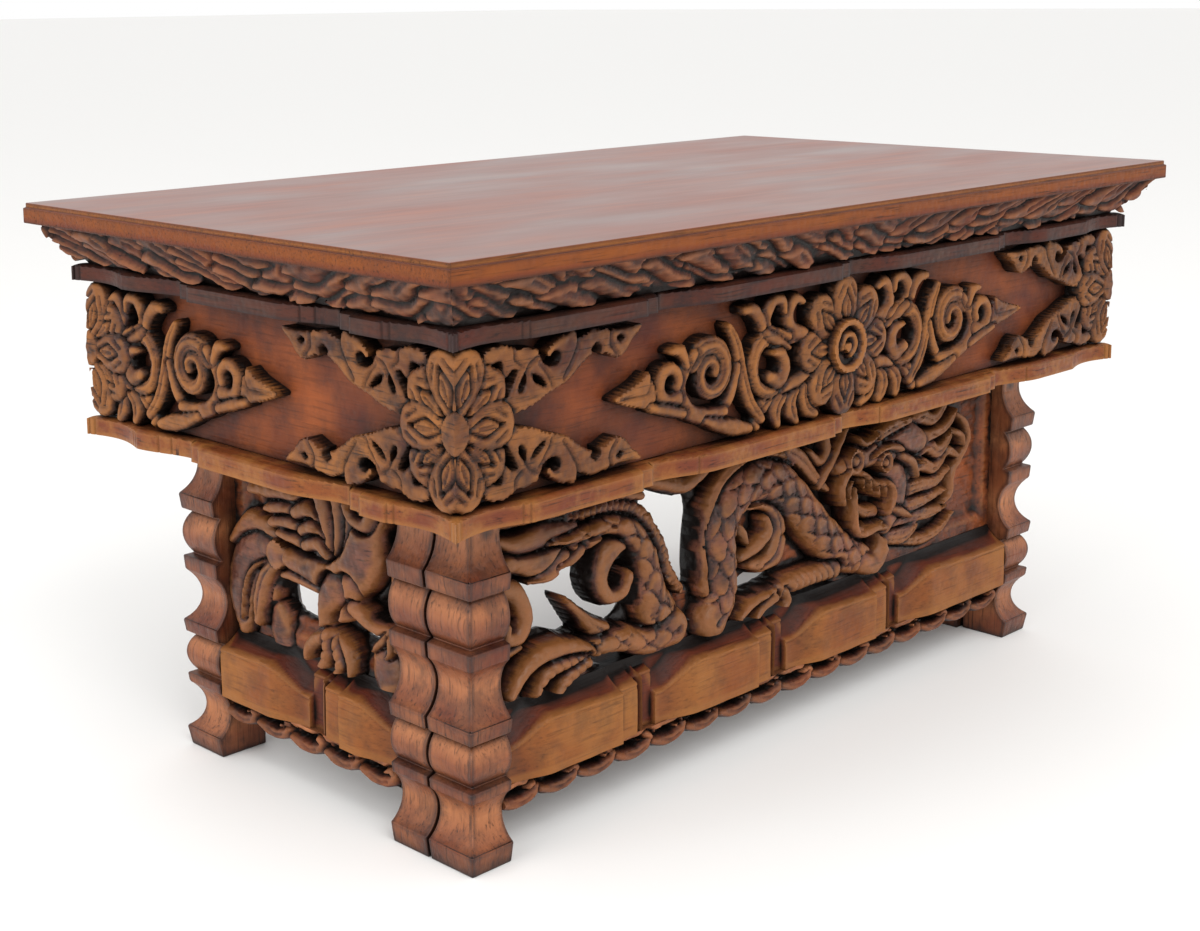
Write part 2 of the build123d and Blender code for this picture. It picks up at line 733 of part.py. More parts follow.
bird_strokes = [
    ([(-37, 103), (-14, 102), (8, 106), (24, 119), (31, 133)], (9, 19, 28, 27, 12)),
    ([(24, 134), (33, 139), (42, 137), (49, 133)], (6, 9, 6, 3)),
    ([(12, 122), (-4, 132), (-26, 137), (-54, 137)], (12, 9, 8, 6)),
    ([(11, 119), (-8, 126), (-28, 130), (-50, 130)], (10, 8, 7, 6)),
    ([(10, 116), (-8, 120), (-24, 123), (-44, 123)], (9, 7, 7, 5)),
    ([(8, 112), (-6, 115), (-18, 117), (-34, 116)], (8, 7, 6, 5)),
    ([(-34, 106), (-48, 115), (-60, 118), (-70, 113)], (8, 10, 9, 5)),
    ([(-34, 104), (-52, 106), (-66, 96), (-68, 74)], (8, 11, 12, 7)),
    ([(-36, 101), (-48, 95), (-54, 82), (-54, 66)], (7, 8, 9, 10)),
    ([(8, 95), (0, 85), (-2, 73)], (14, 10, 7)),
    ([(-1, 75), (-12, 72), (-18, 66)], (7, 6, 4)),
    ([(-1, 74), (-2, 67), (-6, 60)], (7, 6, 4)),
    ([(0, 74), (8, 68), (12, 61)], (7, 6, 4)),
    ([(20, 97), (28, 91), (40, 86)], (12, 8, 6)),
    ([(46, 128), (42, 114), (46, 102), (46, 88)], (5, 9, 9, 4)),
    ([(38, 82), (39, 70), (38, 58)], (14, 22, 14)),
]

dragon_strokes = [dragon_body, dragon_back] + dragon_limbs + dragon_flames + dragon_head


def screw_forms(planes, extra, mode):
    """Screws, or the holes for them, with heads sunk flush with each plane."""
    for plane in planes:
        for radius, depth in ((screw_head_radius, screw_head_height),
                              (screw_shank_radius, screw_length)):
            with BuildSketch(plane) as section:
                RegularPolygon(radius + extra, screw_sides)
            extrude(section.sketch, amount=-depth - extra, mode=mode)


screw_levels = [height + rise for height in hinge_bases
                for rise in (screw_edge, hinge_height - screw_edge)]
fixed_screws = [Plane(origin=(-hinge_x + screw_reach, front_back + leaf_thickness, z),
                      x_dir=(1, 0, 0), z_dir=(0, 1, 0)) for z in screw_levels]
moving_screws = [Plane(origin=(-side_inner + leaf_thickness, hinge_y + screw_reach, z),
                       x_dir=(0, 1, 0), z_dir=(1, 0, 0)) for z in screw_levels]


def both_ends_facing_back(planes):
    """Front-panel screw planes for the left and the right hinges."""
    return planes + [Plane(origin=(-plane.origin.X, plane.origin.Y, plane.origin.Z),
                           x_dir=(1, 0, 0), z_dir=(0, 1, 0)) for plane in planes]


# ---------------------------------------------------------------- front panel (root body)
front_leg = corner_leg(front_back, panel_thickness, base_height, "front")
with BuildPart() as front_left_leg:
    add(front_leg.part)
    with Locations((-peg_x, -peg_y, base_height)):
        mortise = peg_size + 2 * peg_fit
        Box(mortise, mortise, peg_length - peg_stand + peg_fit,
            align=(Align.CENTER, Align.CENTER, Align.MAX), mode=Mode.SUBTRACT)
write(front_left_leg, "front_left_leg")
write_mirrored(front_left_leg, "front_right_leg")

with BuildPart() as pegs:
    with Locations((-peg_x, -peg_y, base_height + peg_stand),
                   (peg_x, -peg_y, base_height + peg_stand)):
        Box(peg_size, peg_size, peg_length, align=(Align.CENTER, Align.CENTER, Align.MAX))
write(pegs, "locating_pegs")

front_screws = both_ends_facing_back(fixed_screws)
with BuildPart() as front_rail:
    add(bottom_rail("front", -front_leg_inner, front_leg_inner, base_y, front_bays, 1).part)
    screw_forms(front_screws, screw_clearance, Mode.SUBTRACT)
write(front_rail, "front_bottom_rail")

front_skirt = skirt(front_plane(skirt_face_inset), -front_leg_inner, front_leg_inner, front_lobes)
write(front_skirt, "front_skirt")
front_top_rail = top_rail(front_plane(top_rail_inset), -front_leg_inner, front_leg_inner,
                          base_height)
write(front_top_rail, "front_top_rail")

with BuildPart() as dragon_panel:
    add(carved_panel(front_plane(ground_inset), -front_leg_inner, front_leg_inner, base_height,
                     dragon_grid, dragon_holes, dragon_strokes).part)
    screw_forms(front_screws, screw_clearance, Mode.SUBTRACT)
write(dragon_panel, "dragon_panel")

# ---------------------------------------------------------------- side panels
left_end, right_end = -rear_leg_inner, -side_leg_inner   # local x runs towards the front

with BuildPart() as side_front_leg:
    add(corner_leg(side_leg_inner, side_leg_width, side_height, None).part)
    screw_forms(moving_screws, screw_clearance, Mode.SUBTRACT)
side_rear_leg = corner_leg(base_y, rear_leg_width, side_height, "back")
side_rail = bottom_rail("left", side_leg_inner, rear_leg_inner, base_x, side_bays, -1)
side_skirt = skirt(side_plane(skirt_face_inset), left_end, right_end, side_lobes)
side_top_rail = top_rail(side_plane(top_rail_inset), left_end, right_end, side_height)
bird_panel = carved_panel(side_plane(ground_inset), left_end, right_end, side_height,
                          bird_grid, bird_holes, bird_strokes)

for piece, name in ((side_front_leg, "side_front_leg"), (side_rear_leg, "side_rear_leg"),
                    (side_rail, "side_bottom_rail"), (side_skirt, "side_skirt"),
                    (side_top_rail, "side_top_rail"), (bird_panel, "bird_panel")):
    write(piece, f"left_{name}")
    write_mirrored(piece, f"right_{name}")

# ---------------------------------------------------------------- butt hinges


def hinge_leaf(axis, along, facing, owned):
    """Leaf with the knuckles numbered in owned; the wood face lies behind the hinge axis."""
    third = hinge_height / 3
    bore = pin_radius + pin_clearance
    reach = knuckle_radius + knuckle_gap
    for base in hinge_bases:
        for segment in range(3):
            own = segment in owned
            bottom = base + segment * third
            start = 0 if own else reach
            level = Plane(origin=(*axis, bottom), x_dir=along, z_dir=(0, 0, 1))
            with BuildSketch(level) as flap:
                with Locations((start, -facing * hinge_offset)):
                    Rectangle(leaf_width - start, leaf_thickness,
                              align=(Align.MIN, Align.MIN if facing > 0 else Align.MAX))
            extrude(flap.sketch, amount=third)
            if own:
                inset = knuckle_end_gap if segment == 1 else 0
                with BuildSketch(level.offset(inset)) as knuckle:
                    RegularPolygon(knuckle_radius, knuckle_sides)
                extrude(knuckle.sketch, amount=third - 2 * inset)
                with BuildSketch(level) as eye:
                    RegularPolygon(bore, knuckle_sides, major_radius=False)
                extrude(eye.sketch, amount=third, mode=Mode.SUBTRACT)


axis = (-hinge_x, hinge_y)
with BuildPart() as fixed_leaves:
    hinge_leaf(axis, (1, 0, 0), 1, (0, 2))
    screw_forms(fixed_screws, screw_clearance, Mode.SUBTRACT)
with BuildPart() as moving_leaves:
    hinge_leaf(axis, (0, 1, 0), -1, (1,))
    screw_forms(moving_screws, screw_clearance, Mode.SUBTRACT)
with BuildPart() as pins:
    for base in hinge_bases:
        with Locations((*axis, base)):
            Cylinder(pin_radius, hinge_height, align=(Align.CENTER, Align.CENTER, Align.MIN))
with BuildPart() as fixed_leaf_screws:
    screw_forms(fixed_screws, 0, Mode.ADD)
with BuildPart() as moving_leaf_screws:
    screw_forms(moving_screws, 0, Mode.ADD)

for piece, name in ((fixed_leaves, "fixed_hinge_leaves"), (moving_leaves, "moving_hinge_leaves"),
                    (pins, "hinge_pins"), (fixed_leaf_screws, "fixed_leaf_screws"),
                    (moving_leaf_screws, "moving_leaf_screws")):
    write(piece, f"left_{name}")
    write_mirrored(piece, f"right_{name}")
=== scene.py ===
"""Dresses the carved altar table: shaped, worn and finished pieces over its fixed frame."""

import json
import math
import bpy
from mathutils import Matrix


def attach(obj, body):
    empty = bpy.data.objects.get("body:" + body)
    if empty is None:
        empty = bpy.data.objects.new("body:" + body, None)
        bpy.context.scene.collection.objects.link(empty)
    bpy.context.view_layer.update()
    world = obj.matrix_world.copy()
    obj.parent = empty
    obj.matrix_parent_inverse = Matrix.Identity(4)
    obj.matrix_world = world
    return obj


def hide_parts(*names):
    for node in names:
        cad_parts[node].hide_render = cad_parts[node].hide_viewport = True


bl_info = {
    "name": "Carved Altar Table",
    "version": (1, 0, 0),
    "blender": (4, 5, 0),
    "location": "3D View > Sidebar > Altar Table",
    "description": "Carves and finishes the pieces of a low wooden altar table",
    "category": "Object",
}

from math import cos, pi, radians, sin

import bmesh
import bpy
import numpy as np
from bpy.props import FloatProperty, FloatVectorProperty, PointerProperty
from mathutils import Euler, Matrix, Vector

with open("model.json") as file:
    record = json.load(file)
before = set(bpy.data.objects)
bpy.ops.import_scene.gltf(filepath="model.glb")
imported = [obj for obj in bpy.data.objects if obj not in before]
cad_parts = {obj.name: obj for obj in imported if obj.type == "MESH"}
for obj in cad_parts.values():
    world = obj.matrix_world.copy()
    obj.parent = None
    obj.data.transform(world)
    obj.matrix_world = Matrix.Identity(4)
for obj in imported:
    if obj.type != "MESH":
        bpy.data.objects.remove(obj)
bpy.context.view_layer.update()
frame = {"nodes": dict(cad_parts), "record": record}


MM = 0.001
UP = (0, 0, 1)

# places of the frame, in mm
FRIEZE_MIDDLE = 188.5  # height of the middle of the frieze
FRIEZE_FRONT = 112.2  # frieze faces from the middle of the table
FRIEZE_SIDE = 226.5
SKIRT_BOTTOM = 18.1
RAIL_BOTTOM = 30
PANEL_BOTTOM = 61.0  # lower and upper edge of the openwork
PANEL_TOP = 141.0
PANEL_RIM = 13  # level of the openwork's rim above the back
MOULDING_STRIP = 24.0  # depth of a moulding's carved outer part
CORNICE_LOW = (14.4, 227.0)  # setback from the table's edge, and height
CORNICE_HIGH = (1.5, 245.0)
FOUR_SIDES = (
    # side, half its run, its reach from the middle, direction along it and out of it
    ("front", 254.0, 139.7, Vector((1, 0, 0)), Vector((0, -1, 0))),
    ("back", 254.0, 139.7, Vector((-1, 0, 0)), Vector((0, 1, 0))),
    ("left", 139.7, 254.0, Vector((0, -1, 0)), Vector((-1, 0, 0))),
    ("right", 139.7, 254.0, Vector((0, 1, 0)), Vector((1, 0, 0))),
)
PANELS = (
    # name, ends of its opening, bays of its rail, place of its back, direction along and out
    ("front", (-184, 184), 4, 71, (1, 0, 0), Vector((0, -1, 0))),
    ("left_side", (-71, 48), 2, 181, (0, -1, 0), Vector((-1, 0, 0))),
    ("right_side", (-71, 48), 2, 181, (0, -1, 0), Vector((1, 0, 0))),
)
FRONT, *FOLDING = PANELS


def linear(code):
    """Turn an sRGB hex colour such as #8a4f2b into linear red, green and blue."""
    parts = [int(code[i:i + 2], 16) / 255 for i in (1, 3, 5)]
    return tuple(p / 12.92 if p <= 0.04045 else ((p + 0.055) / 1.055) ** 2.4 for p in parts)


def tint(name, description, code):
    """Colour property that starts from an sRGB hex value."""
    return FloatVectorProperty(name=name, description=description, subtype="COLOR", size=3,
                               min=0, max=1, default=linear(code))


def length(name, description, millimetres):
    """Length property in metres that starts from a size in millimetres."""
    return FloatProperty(name=name, description=description, unit="LENGTH", subtype="DISTANCE",
                         min=0, default=millimetres * MM, precision=5)


class AltarSizes(bpy.types.PropertyGroup):
    """Sizes of the hand work."""

    panel_fineness: length("Panel fineness", "Spacing of the carver's grid on the dragon", 0.9)
    frieze_fineness: length("Frieze fineness", "Spacing of the carver's grid on the frieze", 0.8)
    vein_depth: length("Vein depth", "Depth of the V-cuts along leaves and round strokes", 1.1)
    scale_pitch: length("Scale pitch", "Distance between rows of dragon scales", 8.6)
    arris_wear: length("Arris wear", "Rounding of the leg and rail arrises", 0.9)
    board_wear: length("Board wear", "Rounding of the top board's arrises", 0.7)


class AltarFinish(bpy.types.PropertyGroup):
    """Colours of the stains, wax and metal."""

    # recess: also the painted shade in cuts, crevices and hollows shut in by walls
    recess: tint("Recess", "Stain and wax gathered in deep cuts", "#100907")
    # arris: also the painted shade on faces that look down
    arris: tint("Arris", "Dark stain along sharp edges", "#231b1c")
    carving: tint("Carving", "Golden carving on the frieze", "#47251a")
    carving_worn: tint("Worn carving", "Ridges rubbed back to pale wood", "#945d2d")
    panel: tint("Openwork", "Red-brown openwork carving", "#42261f")
    panel_worn: tint("Worn openwork", "Rubbed ridges of the openwork", "#87513c")
    leg: tint("Leg", "Red-brown legs", "#66301c")
    # paler patches and rubbed ridges, and also the painted highlight across the middle of each leg
    # cove
    leg_worn: tint("Worn leg", "Pale middle of the leg coves", "#ae6f46")
    # frieze colour, also the painted shade at the notches between the leg coves and at the low
    # ends of the rail plaques
    board: tint("Frieze board", "Red-brown frieze", "#4c1d0f")
    board_worn: tint("Worn frieze board", "Orange patches of the frieze", "#8c4821")
    top: tint("Table top", "Polished table top", "#763d2b")
    fascia: tint("Fascia", "Golden edge of the top and mouldings", "#7d431a")
    cornice: tint("Cornice", "Grey-brown carved cornice", "#46291d")
    ground: tint("Ground", "Orange-brown ground behind the figures", "#5a2a13")
    plaque: tint("Plaque", "Tan plaques of the rails", "#94602f")
    steel: tint("Steel", "Aged steel of the hinges", "#6d665c")


class AltarStage(bpy.types.PropertyGroup):
    """Floor and light of the stage."""

    floor: tint("Floor", "Pale floor", "#f4f3f1")
    sky: FloatProperty(name="Sky", description="Strength of the even light all round",
                       min=0, default=1.0)
    key: FloatProperty(name="Key light", description="Power of the large soft light",
                       unit="POWER", min=0, default=20)
    fill: FloatProperty(name="Fill light", description="Power of the light by the long side",
                        unit="POWER", min=0, default=12)


# ------------------------------------------------------------------ finishes


def node(tree, kind, inputs=None, stops=None, **settings):
    """Add one shader node, set it up, and fill or link its inputs."""
    made = tree.nodes.new(kind)
    for name, value in settings.items():
        setattr(made, name, value)
    if stops:
        elements = made.color_ramp.elements
        while len(elements) < len(stops):
            elements.new(1.0)
        for stop, (place, colour) in zip(elements, stops):
            stop.position = place
            stop.color = (*colour, 1)
    for key, value in (inputs or {}).items():
        if isinstance(value, bpy.types.NodeSocket):
            tree.links.new(value, made.inputs[key])
        else:
            made.inputs[key].default_value = value
    return made


def new_finish(name):
    """Empty material and its node tree."""
    material = bpy.data.materials.new(name)
    material.use_nodes = True
    material.node_tree.nodes.clear()
    return material, material.node_tree


def position(tree):
    """Place of each point on its piece."""
    return node(tree, "ShaderNodeTexCoord").outputs["Object"]


def surface(tree, inputs):
    """Add the shader with its inputs, and the output."""
    shader = node(tree, "ShaderNodeBsdfPrincipled", inputs)
    node(tree, "ShaderNodeOutputMaterial", {"Surface": shader.outputs[0]})


def blend(tree, share, first, second, mode="MIX"):
    """Colour between two colours or sockets."""
    inputs = {0: share}
    for slot, value in ((6, first), (7, second)):
        fixed = not isinstance(value, bpy.types.NodeSocket)
        inputs[slot] = (*value, 1) if fixed else value
    mixed = node(tree, "ShaderNodeMix", inputs, data_type="RGBA", blend_type=mode,
                 clamp_factor=True)
    return mixed.outputs[2]


def ranged(tree, value, low, high, start=0.0, end=1.0):
    """Carry low to high over to start to end, held at both ends."""
    return node(tree, "ShaderNodeMapRange",
                {"Value": value, 1: low, 2: high, 3: start, 4: end}).outputs[0]


def ramp(tree, value, stops):
    """Colours along a value from 0 to 1."""
    return node(tree, "ShaderNodeValToRGB", {0: value}, stops=stops).outputs[0]


def noise(tree, place, scale, detail, roughness=0.5, distortion=0.0):
    """Noise; with three scales it is drawn out along the smallest."""
    if isinstance(scale, tuple):
        place = node(tree, "ShaderNodeMapping", {"Vector": place, "Scale": scale}).outputs[0]
        scale = 1.0
    return node(tree, "ShaderNodeTexNoise",
                {"Vector": place, "Scale": scale, "Detail": detail, "Roughness": roughness,
                 "Distortion": distortion}).outputs[0]


def bump(tree, height, strength, distance, **under):
    """Fine relief of a pattern, over the relief given as Normal."""
    return node(tree, "ShaderNodeBump", {"Height": height, "Strength": strength,
                                         "Distance": distance, **under}).outputs[0]


def openness(tree, reach, **settings):
    """How open each point lies within a reach in mm, 0 to 1."""
    return node(tree, "ShaderNodeAmbientOcclusion", {"Distance": reach * MM}, samples=4,
                **settings).outputs["AO"]


def carved_into(tree, name):
    """Value that the carver left on each point of a piece."""
    return node(tree, "ShaderNodeAttribute", attribute_name=name).outputs["Fac"]


def upward(tree, vector):
    """Third part of a vector."""
    return node(tree, "ShaderNodeSeparateXYZ", {0: vector}).outputs[2]


def stained_wood(name, look, grain, body, worn, arris="arris", carved=False, bands=None,
                 roughness=0.46, gleam=0.22, hollow=10.0, edge=2.2, edge_share=0.75, mottle=34.0,
                 chisel=0.35, painted_shade_below=False, stain=0.35, ground=None, fibre=0.7, rubbed=0.85,
                 ridge=None):
    """Stained and waxed hardwood, hand cut; colours are given by their names in `look`.

    Pores and grain lines run along one axis, about 0.9 mm apart. Cuts within `hollow` mm of a wall
    darken toward the recess colour, as gathered stain and as painted shade, and the arrises within
    `edge` mm of the corner are stained or rubbed; faces that look down can take painted shade.
    Carved pieces also carry a "wear" attribute, 0 in a crevice and 1 on a rubbed ridge, whose
    crevices darken as stain and as painted shade, and a "ground" attribute, 1 where the wood
    behind the figures keeps its redder stain, and on the rails where the ledge, the grooves and
    the painted shade at the low end of each plaque lie.
    """
    material, tree = new_finish(name)
    place = position(tree)
    body, worn, arris, recess = (look[key] for key in (body, worn, arris, "recess"))
    along = tuple(40 if axis == grain else 900 for axis in "XYZ")
    lines = noise(tree, place, along, 4.0, 0.6, 0.4)
    clouds = noise(tree, place, 1000 / mottle, 3.0, 0.55)
    patches = ranged(tree, clouds, 0.34, 0.7, end=0.85 if carved else 1.0)
    colour = blend(tree, patches, body, worn)
    if ground:
        behind = blend(tree, patches, *(look[key] for key in ground))
        colour = blend(tree, carved_into(tree, "ground"), colour, behind)
    # bands of colour by height: on the legs, painted shade at the notches and painted highlights
    # across the coves
    if bands:
        low, high, stops = bands
        level = ranged(tree, upward(tree, place), low * MM, high * MM)
        stripes = ramp(tree, level, [(stop, look[key]) for stop, key in stops])
        colour = blend(tree, 0.55, colour, stripes)
    colour = blend(tree, 1.0, colour, ranged(tree, lines, 0.2, 0.8, 0.82, 1.2), "MULTIPLY")
    pores = ranged(tree, lines, 0.30, 0.44)
    colour = blend(tree, pores, blend(tree, fibre, colour, recess), colour)
    dulled = ranged(tree, noise(tree, place, 70.0, 6.0, 0.68), 0.47, 0.63, end=stain)
    colour = blend(tree, dulled, colour, arris)
    if carved:
        wear = carved_into(tree, "wear")
        bright = ranged(tree, wear, 0.57, 0.9, end=rubbed)
        colour = blend(tree, bright, colour, look[ridge] if ridge else worn)
        # stain gathered in the carving's crevices, and painted shade there: low places darken
        # toward the recess colour
        colour = blend(tree, ranged(tree, wear, 0.16, 0.47), recess, colour)
    else:
        # arrises: stained dark on the legs, rubbed pale on the lower moulding
        sharp = ranged(tree, openness(tree, edge, inside=True), 0.95, 0.62, end=edge_share)
        colour = blend(tree, sharp, colour, arris)
    # stain gathered in the cuts, and painted shade: points shut in by walls within `hollow` mm
    # darken toward the recess colour
    colour = blend(tree, ranged(tree, openness(tree, hollow), 0.15, 0.85), recess, colour)
    # painted shade: faces that look down darken toward the arris colour
    if painted_shade_below:
        facing = node(tree, "ShaderNodeNewGeometry").outputs["Normal"]
        below = ranged(tree, upward(tree, facing), -0.25, -0.8)
        colour = blend(tree, below, colour, look["arris"])
    tools = node(tree, "ShaderNodeTexVoronoi", {"Vector": place, "Scale": 330.0},
                 feature="SMOOTH_F1").outputs[0]
    cuts = bump(tree, tools, chisel, 0.9 * MM)
    gloss = ranged(tree, clouds, 0.3, 0.7, roughness - 0.07, roughness + 0.1)
    surface(tree, {"Base Color": colour, "Roughness": gloss, "Specular IOR Level": gleam,
                   "Normal": bump(tree, lines, 0.45, 0.5 * MM, Normal=cuts)})
    return material


def polished_wood(name, body, streak, dark):
    """Oil-polished table top: long grain under a worn clear film that reflects the room."""
    material, tree = new_finish(name)
    place = position(tree)
    figure = noise(tree, place, (9, 160, 160), 6.0, 0.65, 0.8)
    clouds = noise(tree, place, (9, 24, 24), 4.0)
    colour = ramp(tree, figure, [(0.3, dark), (0.52, body), (0.78, streak)])
    shade = ranged(tree, clouds, 0.3, 0.7, 0.7, 1.25)
    surface(tree, {"Base Color": blend(tree, 1.0, colour, shade, "MULTIPLY"),
                   "Roughness": ranged(tree, clouds, 0.3, 0.72, 0.28, 0.42),
                   "Normal": bump(tree, figure, 0.12, 0.3 * MM), "Coat Weight": 0.06,
                   "Coat Roughness": 0.2, "Specular IOR Level": 0.4})
    return material


def aged_steel(name, body):
    """Pressed mild steel, dulled and lightly pitted."""
    material, tree = new_finish(name)
    place = position(tree)
    spots = noise(tree, place, 420.0, 4.0)
    rust = tuple(part * kept for part, kept in zip(body, (0.55, 0.36, 0.26)))
    pale = tuple(min(1, part * 1.5) for part in body)
    surface(tree, {"Base Color": ramp(tree, spots, [(0.35, rust), (0.55, body), (0.8, pale)]),
                   "Roughness": ranged(tree, spots, 0.3, 0.7, 0.6, 0.35),
                   "Normal": bump(tree, spots, 0.3, 0.2 * MM), "Metallic": 0.9})
    return material


# scalloped legs: colours of the coves from foot to top, with painted shade at the notches between
# them and painted highlights across their middles
PAINTED_COVE_SHADING = ((0.0, "board"), (0.06, "leg"), (0.14, "leg_worn"), (0.2, "leg"), (0.235, "board"),
         (0.3, "leg"), (0.34, "leg_worn"), (0.38, "board"), (0.43, "leg"), (0.5, "leg_worn"),
         (0.56, "leg"), (0.61, "board"), (0.67, "leg"), (0.72, "leg_worn"), (0.77, "board"),
         (0.83, "leg"), (0.92, "leg_worn"), (1.0, "leg"))
FASCIA_BANDS = ((0.0, "cornice"), (0.18, "leg"), (0.36, "fascia"), (0.7, "fascia"),
                (0.77, "cornice"), (0.84, "plaque"), (1.0, "fascia"))
WOODS = {
    "golden_carved_hardwood": {
        "body": "carving", "worn": "carving_worn", "carved": True, "chisel": 0.7, "stain": 0.6,
        "mottle": 26, "fibre": 0.9},
    "red_carved_hardwood": {
        "body": "panel", "worn": "panel_worn", "carved": True, "mottle": 24, "roughness": 0.4,
        "chisel": 0.6, "stain": 0.7, "rubbed": 0.6, "gleam": 0.3, "ridge": "carving_worn",
        "ground": ("ground", "board_worn")},
    "skirt_carved_hardwood": {
        "body": "panel", "worn": "leg", "carved": True, "mottle": 24, "hollow": 7, "stain": 0.8,
        "rubbed": 0.35, "ridge": "leg_worn", "ground": ("leg", "leg_worn")},
    "dark_cornice_hardwood": {
        "body": "cornice", "worn": "leg", "carved": True, "mottle": 24, "ridge": "leg_worn",
        "roughness": 0.5, "stain": 0.75, "rubbed": 0.4},
    "waxed_leg_hardwood": {
        "body": "leg", "worn": "leg_worn", "mottle": 26, "roughness": 0.4, "gleam": 0.3,
        "edge": 2.8, "edge_share": 0.85, "stain": 0.45, "bands": (0, 149, PAINTED_COVE_SHADING)},
    "stained_frieze_hardwood": {
        "body": "board", "worn": "board_worn", "mottle": 36, "roughness": 0.5, "hollow": 14,
        "edge_share": 0.4, "chisel": 0.3, "stain": 0.32, "fibre": 0.3},
    "dark_moulding_hardwood": {
        "body": "cornice", "worn": "board", "mottle": 30, "roughness": 0.42, "hollow": 7,
        "edge": 2.0, "stain": 0.55, "painted_shade_below": True},
    "waxed_moulding_hardwood": {
        "body": "leg", "worn": "fascia", "arris": "plaque", "mottle": 24, "roughness": 0.42,
        "hollow": 8, "edge": 2.4, "stain": 0.6, "painted_shade_below": True},
    "waxed_fascia_hardwood": {
        "body": "leg", "worn": "fascia", "mottle": 40, "roughness": 0.44, "gleam": 0.15,
        "hollow": 4, "edge": 1.4, "edge_share": 0.6, "stain": 0.2, "painted_shade_below": True,
        "bands": (245, 254, FASCIA_BANDS)},
    # its ground colours fill the ledge, the grooves and the painted shade at the low end of each
    # plaque
    "tan_plaque_hardwood": {
        "body": "fascia", "worn": "plaque", "carved": True, "mottle": 30, "roughness": 0.5,
        "hollow": 4, "chisel": 0.2, "stain": 0.3, "fibre": 0.35, "rubbed": 0.4,
        "ground": ("board", "leg")},
    "inner_hardwood": {
        "body": "leg", "worn": "board_worn", "mottle": 50, "roughness": 0.6, "hollow": 16,
        "edge_share": 0.3, "chisel": 0.2},
}


def grain_of(name):
    """Axis that a piece's grain follows: up the legs, along everything else."""
    if "leg" in name:
        return "Z"
    across = name.endswith(("_left", "_right")) or name.startswith((
        "left_side", "right_side", "left_bird", "right_bird", "carving_left", "carving_right"))
    return "Y" if across else "X"


def finish(kind, grain="X"):
    """Material of that kind and grain, made the first time it is asked for."""
    name = kind + {"X": "", "Y": "_cross", "Z": "_upright"}[grain]
    known = bpy.data.materials.get(name)
    if known:
        return known
    settings = bpy.context.scene.altar_finish
    look = {key: tuple(getattr(settings, key)) for key in AltarFinish.__annotations__}
    if kind == "polished_top_hardwood":
        return polished_wood(name, look["top"], look["board_worn"], look["leg"])
    if kind == "aged_mild_steel":
        return aged_steel(name, look["steel"])
    return stained_wood(name, look, grain, **WOODS[kind])


# ------------------------------------------------------------------ shaping


def settle(bm, stands_for, ending, kind, smooth):
    """Turn a finished bmesh in metres into the piece that stands for a frame node."""
    bmesh.ops.recalc_face_normals(bm, faces=bm.faces[:])
    name = f"{stands_for}_{ending}"
    mesh = bpy.data.meshes.new(name)
    bm.to_mesh(mesh)
    bm.free()
    mesh.polygons.foreach_set("use_smooth", [True] * len(mesh.polygons))
    mesh.set_sharp_from_angle(angle=radians(smooth))
    mesh.materials.append(finish(kind, grain_of(stands_for)))
    piece = bpy.data.objects.new(name, mesh)
    bpy.context.scene.collection.objects.link(piece)
    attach(piece, body_of(stands_for))
    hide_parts(stands_for)
    return piece


def merged_copy(name):
    """Bmesh copy of a frame node with its loose triangles merged to flat faces."""
    bm = bmesh.new()
    bm.from_mesh(frame["nodes"][name].data)
    bmesh.ops.remove_doubles(bm, verts=bm.verts[:], dist=2e-6)
    bmesh.ops.dissolve_limit(bm, angle_limit=radians(0.8), use_dissolve_boundaries=False,
                             verts=bm.verts[:], edges=bm.edges[:], delimit=set())
    return bm


def body_of(name):
    """Body that a frame node rides on."""
    bodies = frame["record"]["behaviour"]["bodies"]
    return next(body for body, members in bodies.items() if name in members)


def worn_piece(name, kind, rounding):
    """A frame piece with its arrises rounded by handling."""
    piece = settle(merged_copy(name), name, "worn", kind, smooth=30)
    wear = piece.modifiers.new("worn arrises", "BEVEL")
    wear.width = rounding
    wear.segments = 2
    wear.limit_method = "ANGLE"
    wear.angle_limit = radians(32)
    wear.harden_normals = True
    wear.profile = 0.5
    wear.material = -1
    return piece


def smooth_path(points, widths):
    """Rounded spine through the points, with the half width at each place."""
    p = np.array([points[0], *points, points[-1]], float)
    w = np.array([widths[0], *widths, widths[-1]], float)
    path, halves = [], []
    steps = 6
    for i in range(1, len(points)):
        for k in range(steps + (i == len(points) - 1)):
            t = k / steps
            a = np.array([-t + 2 * t * t - t ** 3, 2 - 5 * t * t + 3 * t ** 3,
                          t + 4 * t * t - 3 * t ** 3, -t * t + t ** 3]) / 2
            path.append(a @ p[i - 1:i + 3])
            halves.append(max(0.3, (w[i] + (w[min(i + 1, len(w) - 1)] - w[i]) * t) / 2))
    return np.array(path), np.array(halves)


def volute(centre, outer, inner, start, turns, first, last):
    """Points and widths of a scroll that winds inward; angles in degrees."""
    share = np.linspace(0, 1, max(5, round(abs(turns) * 9) + 1))
    angle = np.radians(start + 360 * turns * share)
    radius = outer + (inner - outer) * share
    points = np.stack([centre[0] + radius * np.cos(angle), centre[1] + radius * np.sin(angle)], 1)
    return [tuple(p) for p in points], list(first + (last - first) * share)


def notch(distance, half):
    """V-shaped cut, 1 at its line and 0 from half mm away."""
    return np.clip(1 - np.abs(distance) / half, 0, 1)


def eased(past, over):
    """Smooth rise from 0 to 1 over a distance."""
    share = np.clip(past / over, 0, 1)
    return share * share * (3 - 2 * share)


def nearest_on(u, v, start, way, squared):
    """Share of the way along an edge that lies nearest to each place, and how far it is."""
    share = np.clip(((u - start[0]) * way[0] + (v - start[1]) * way[1]) / squared, 0, 1)
    return share, np.hypot(u - start[0] - share * way[0], v - start[1] - share * way[1])


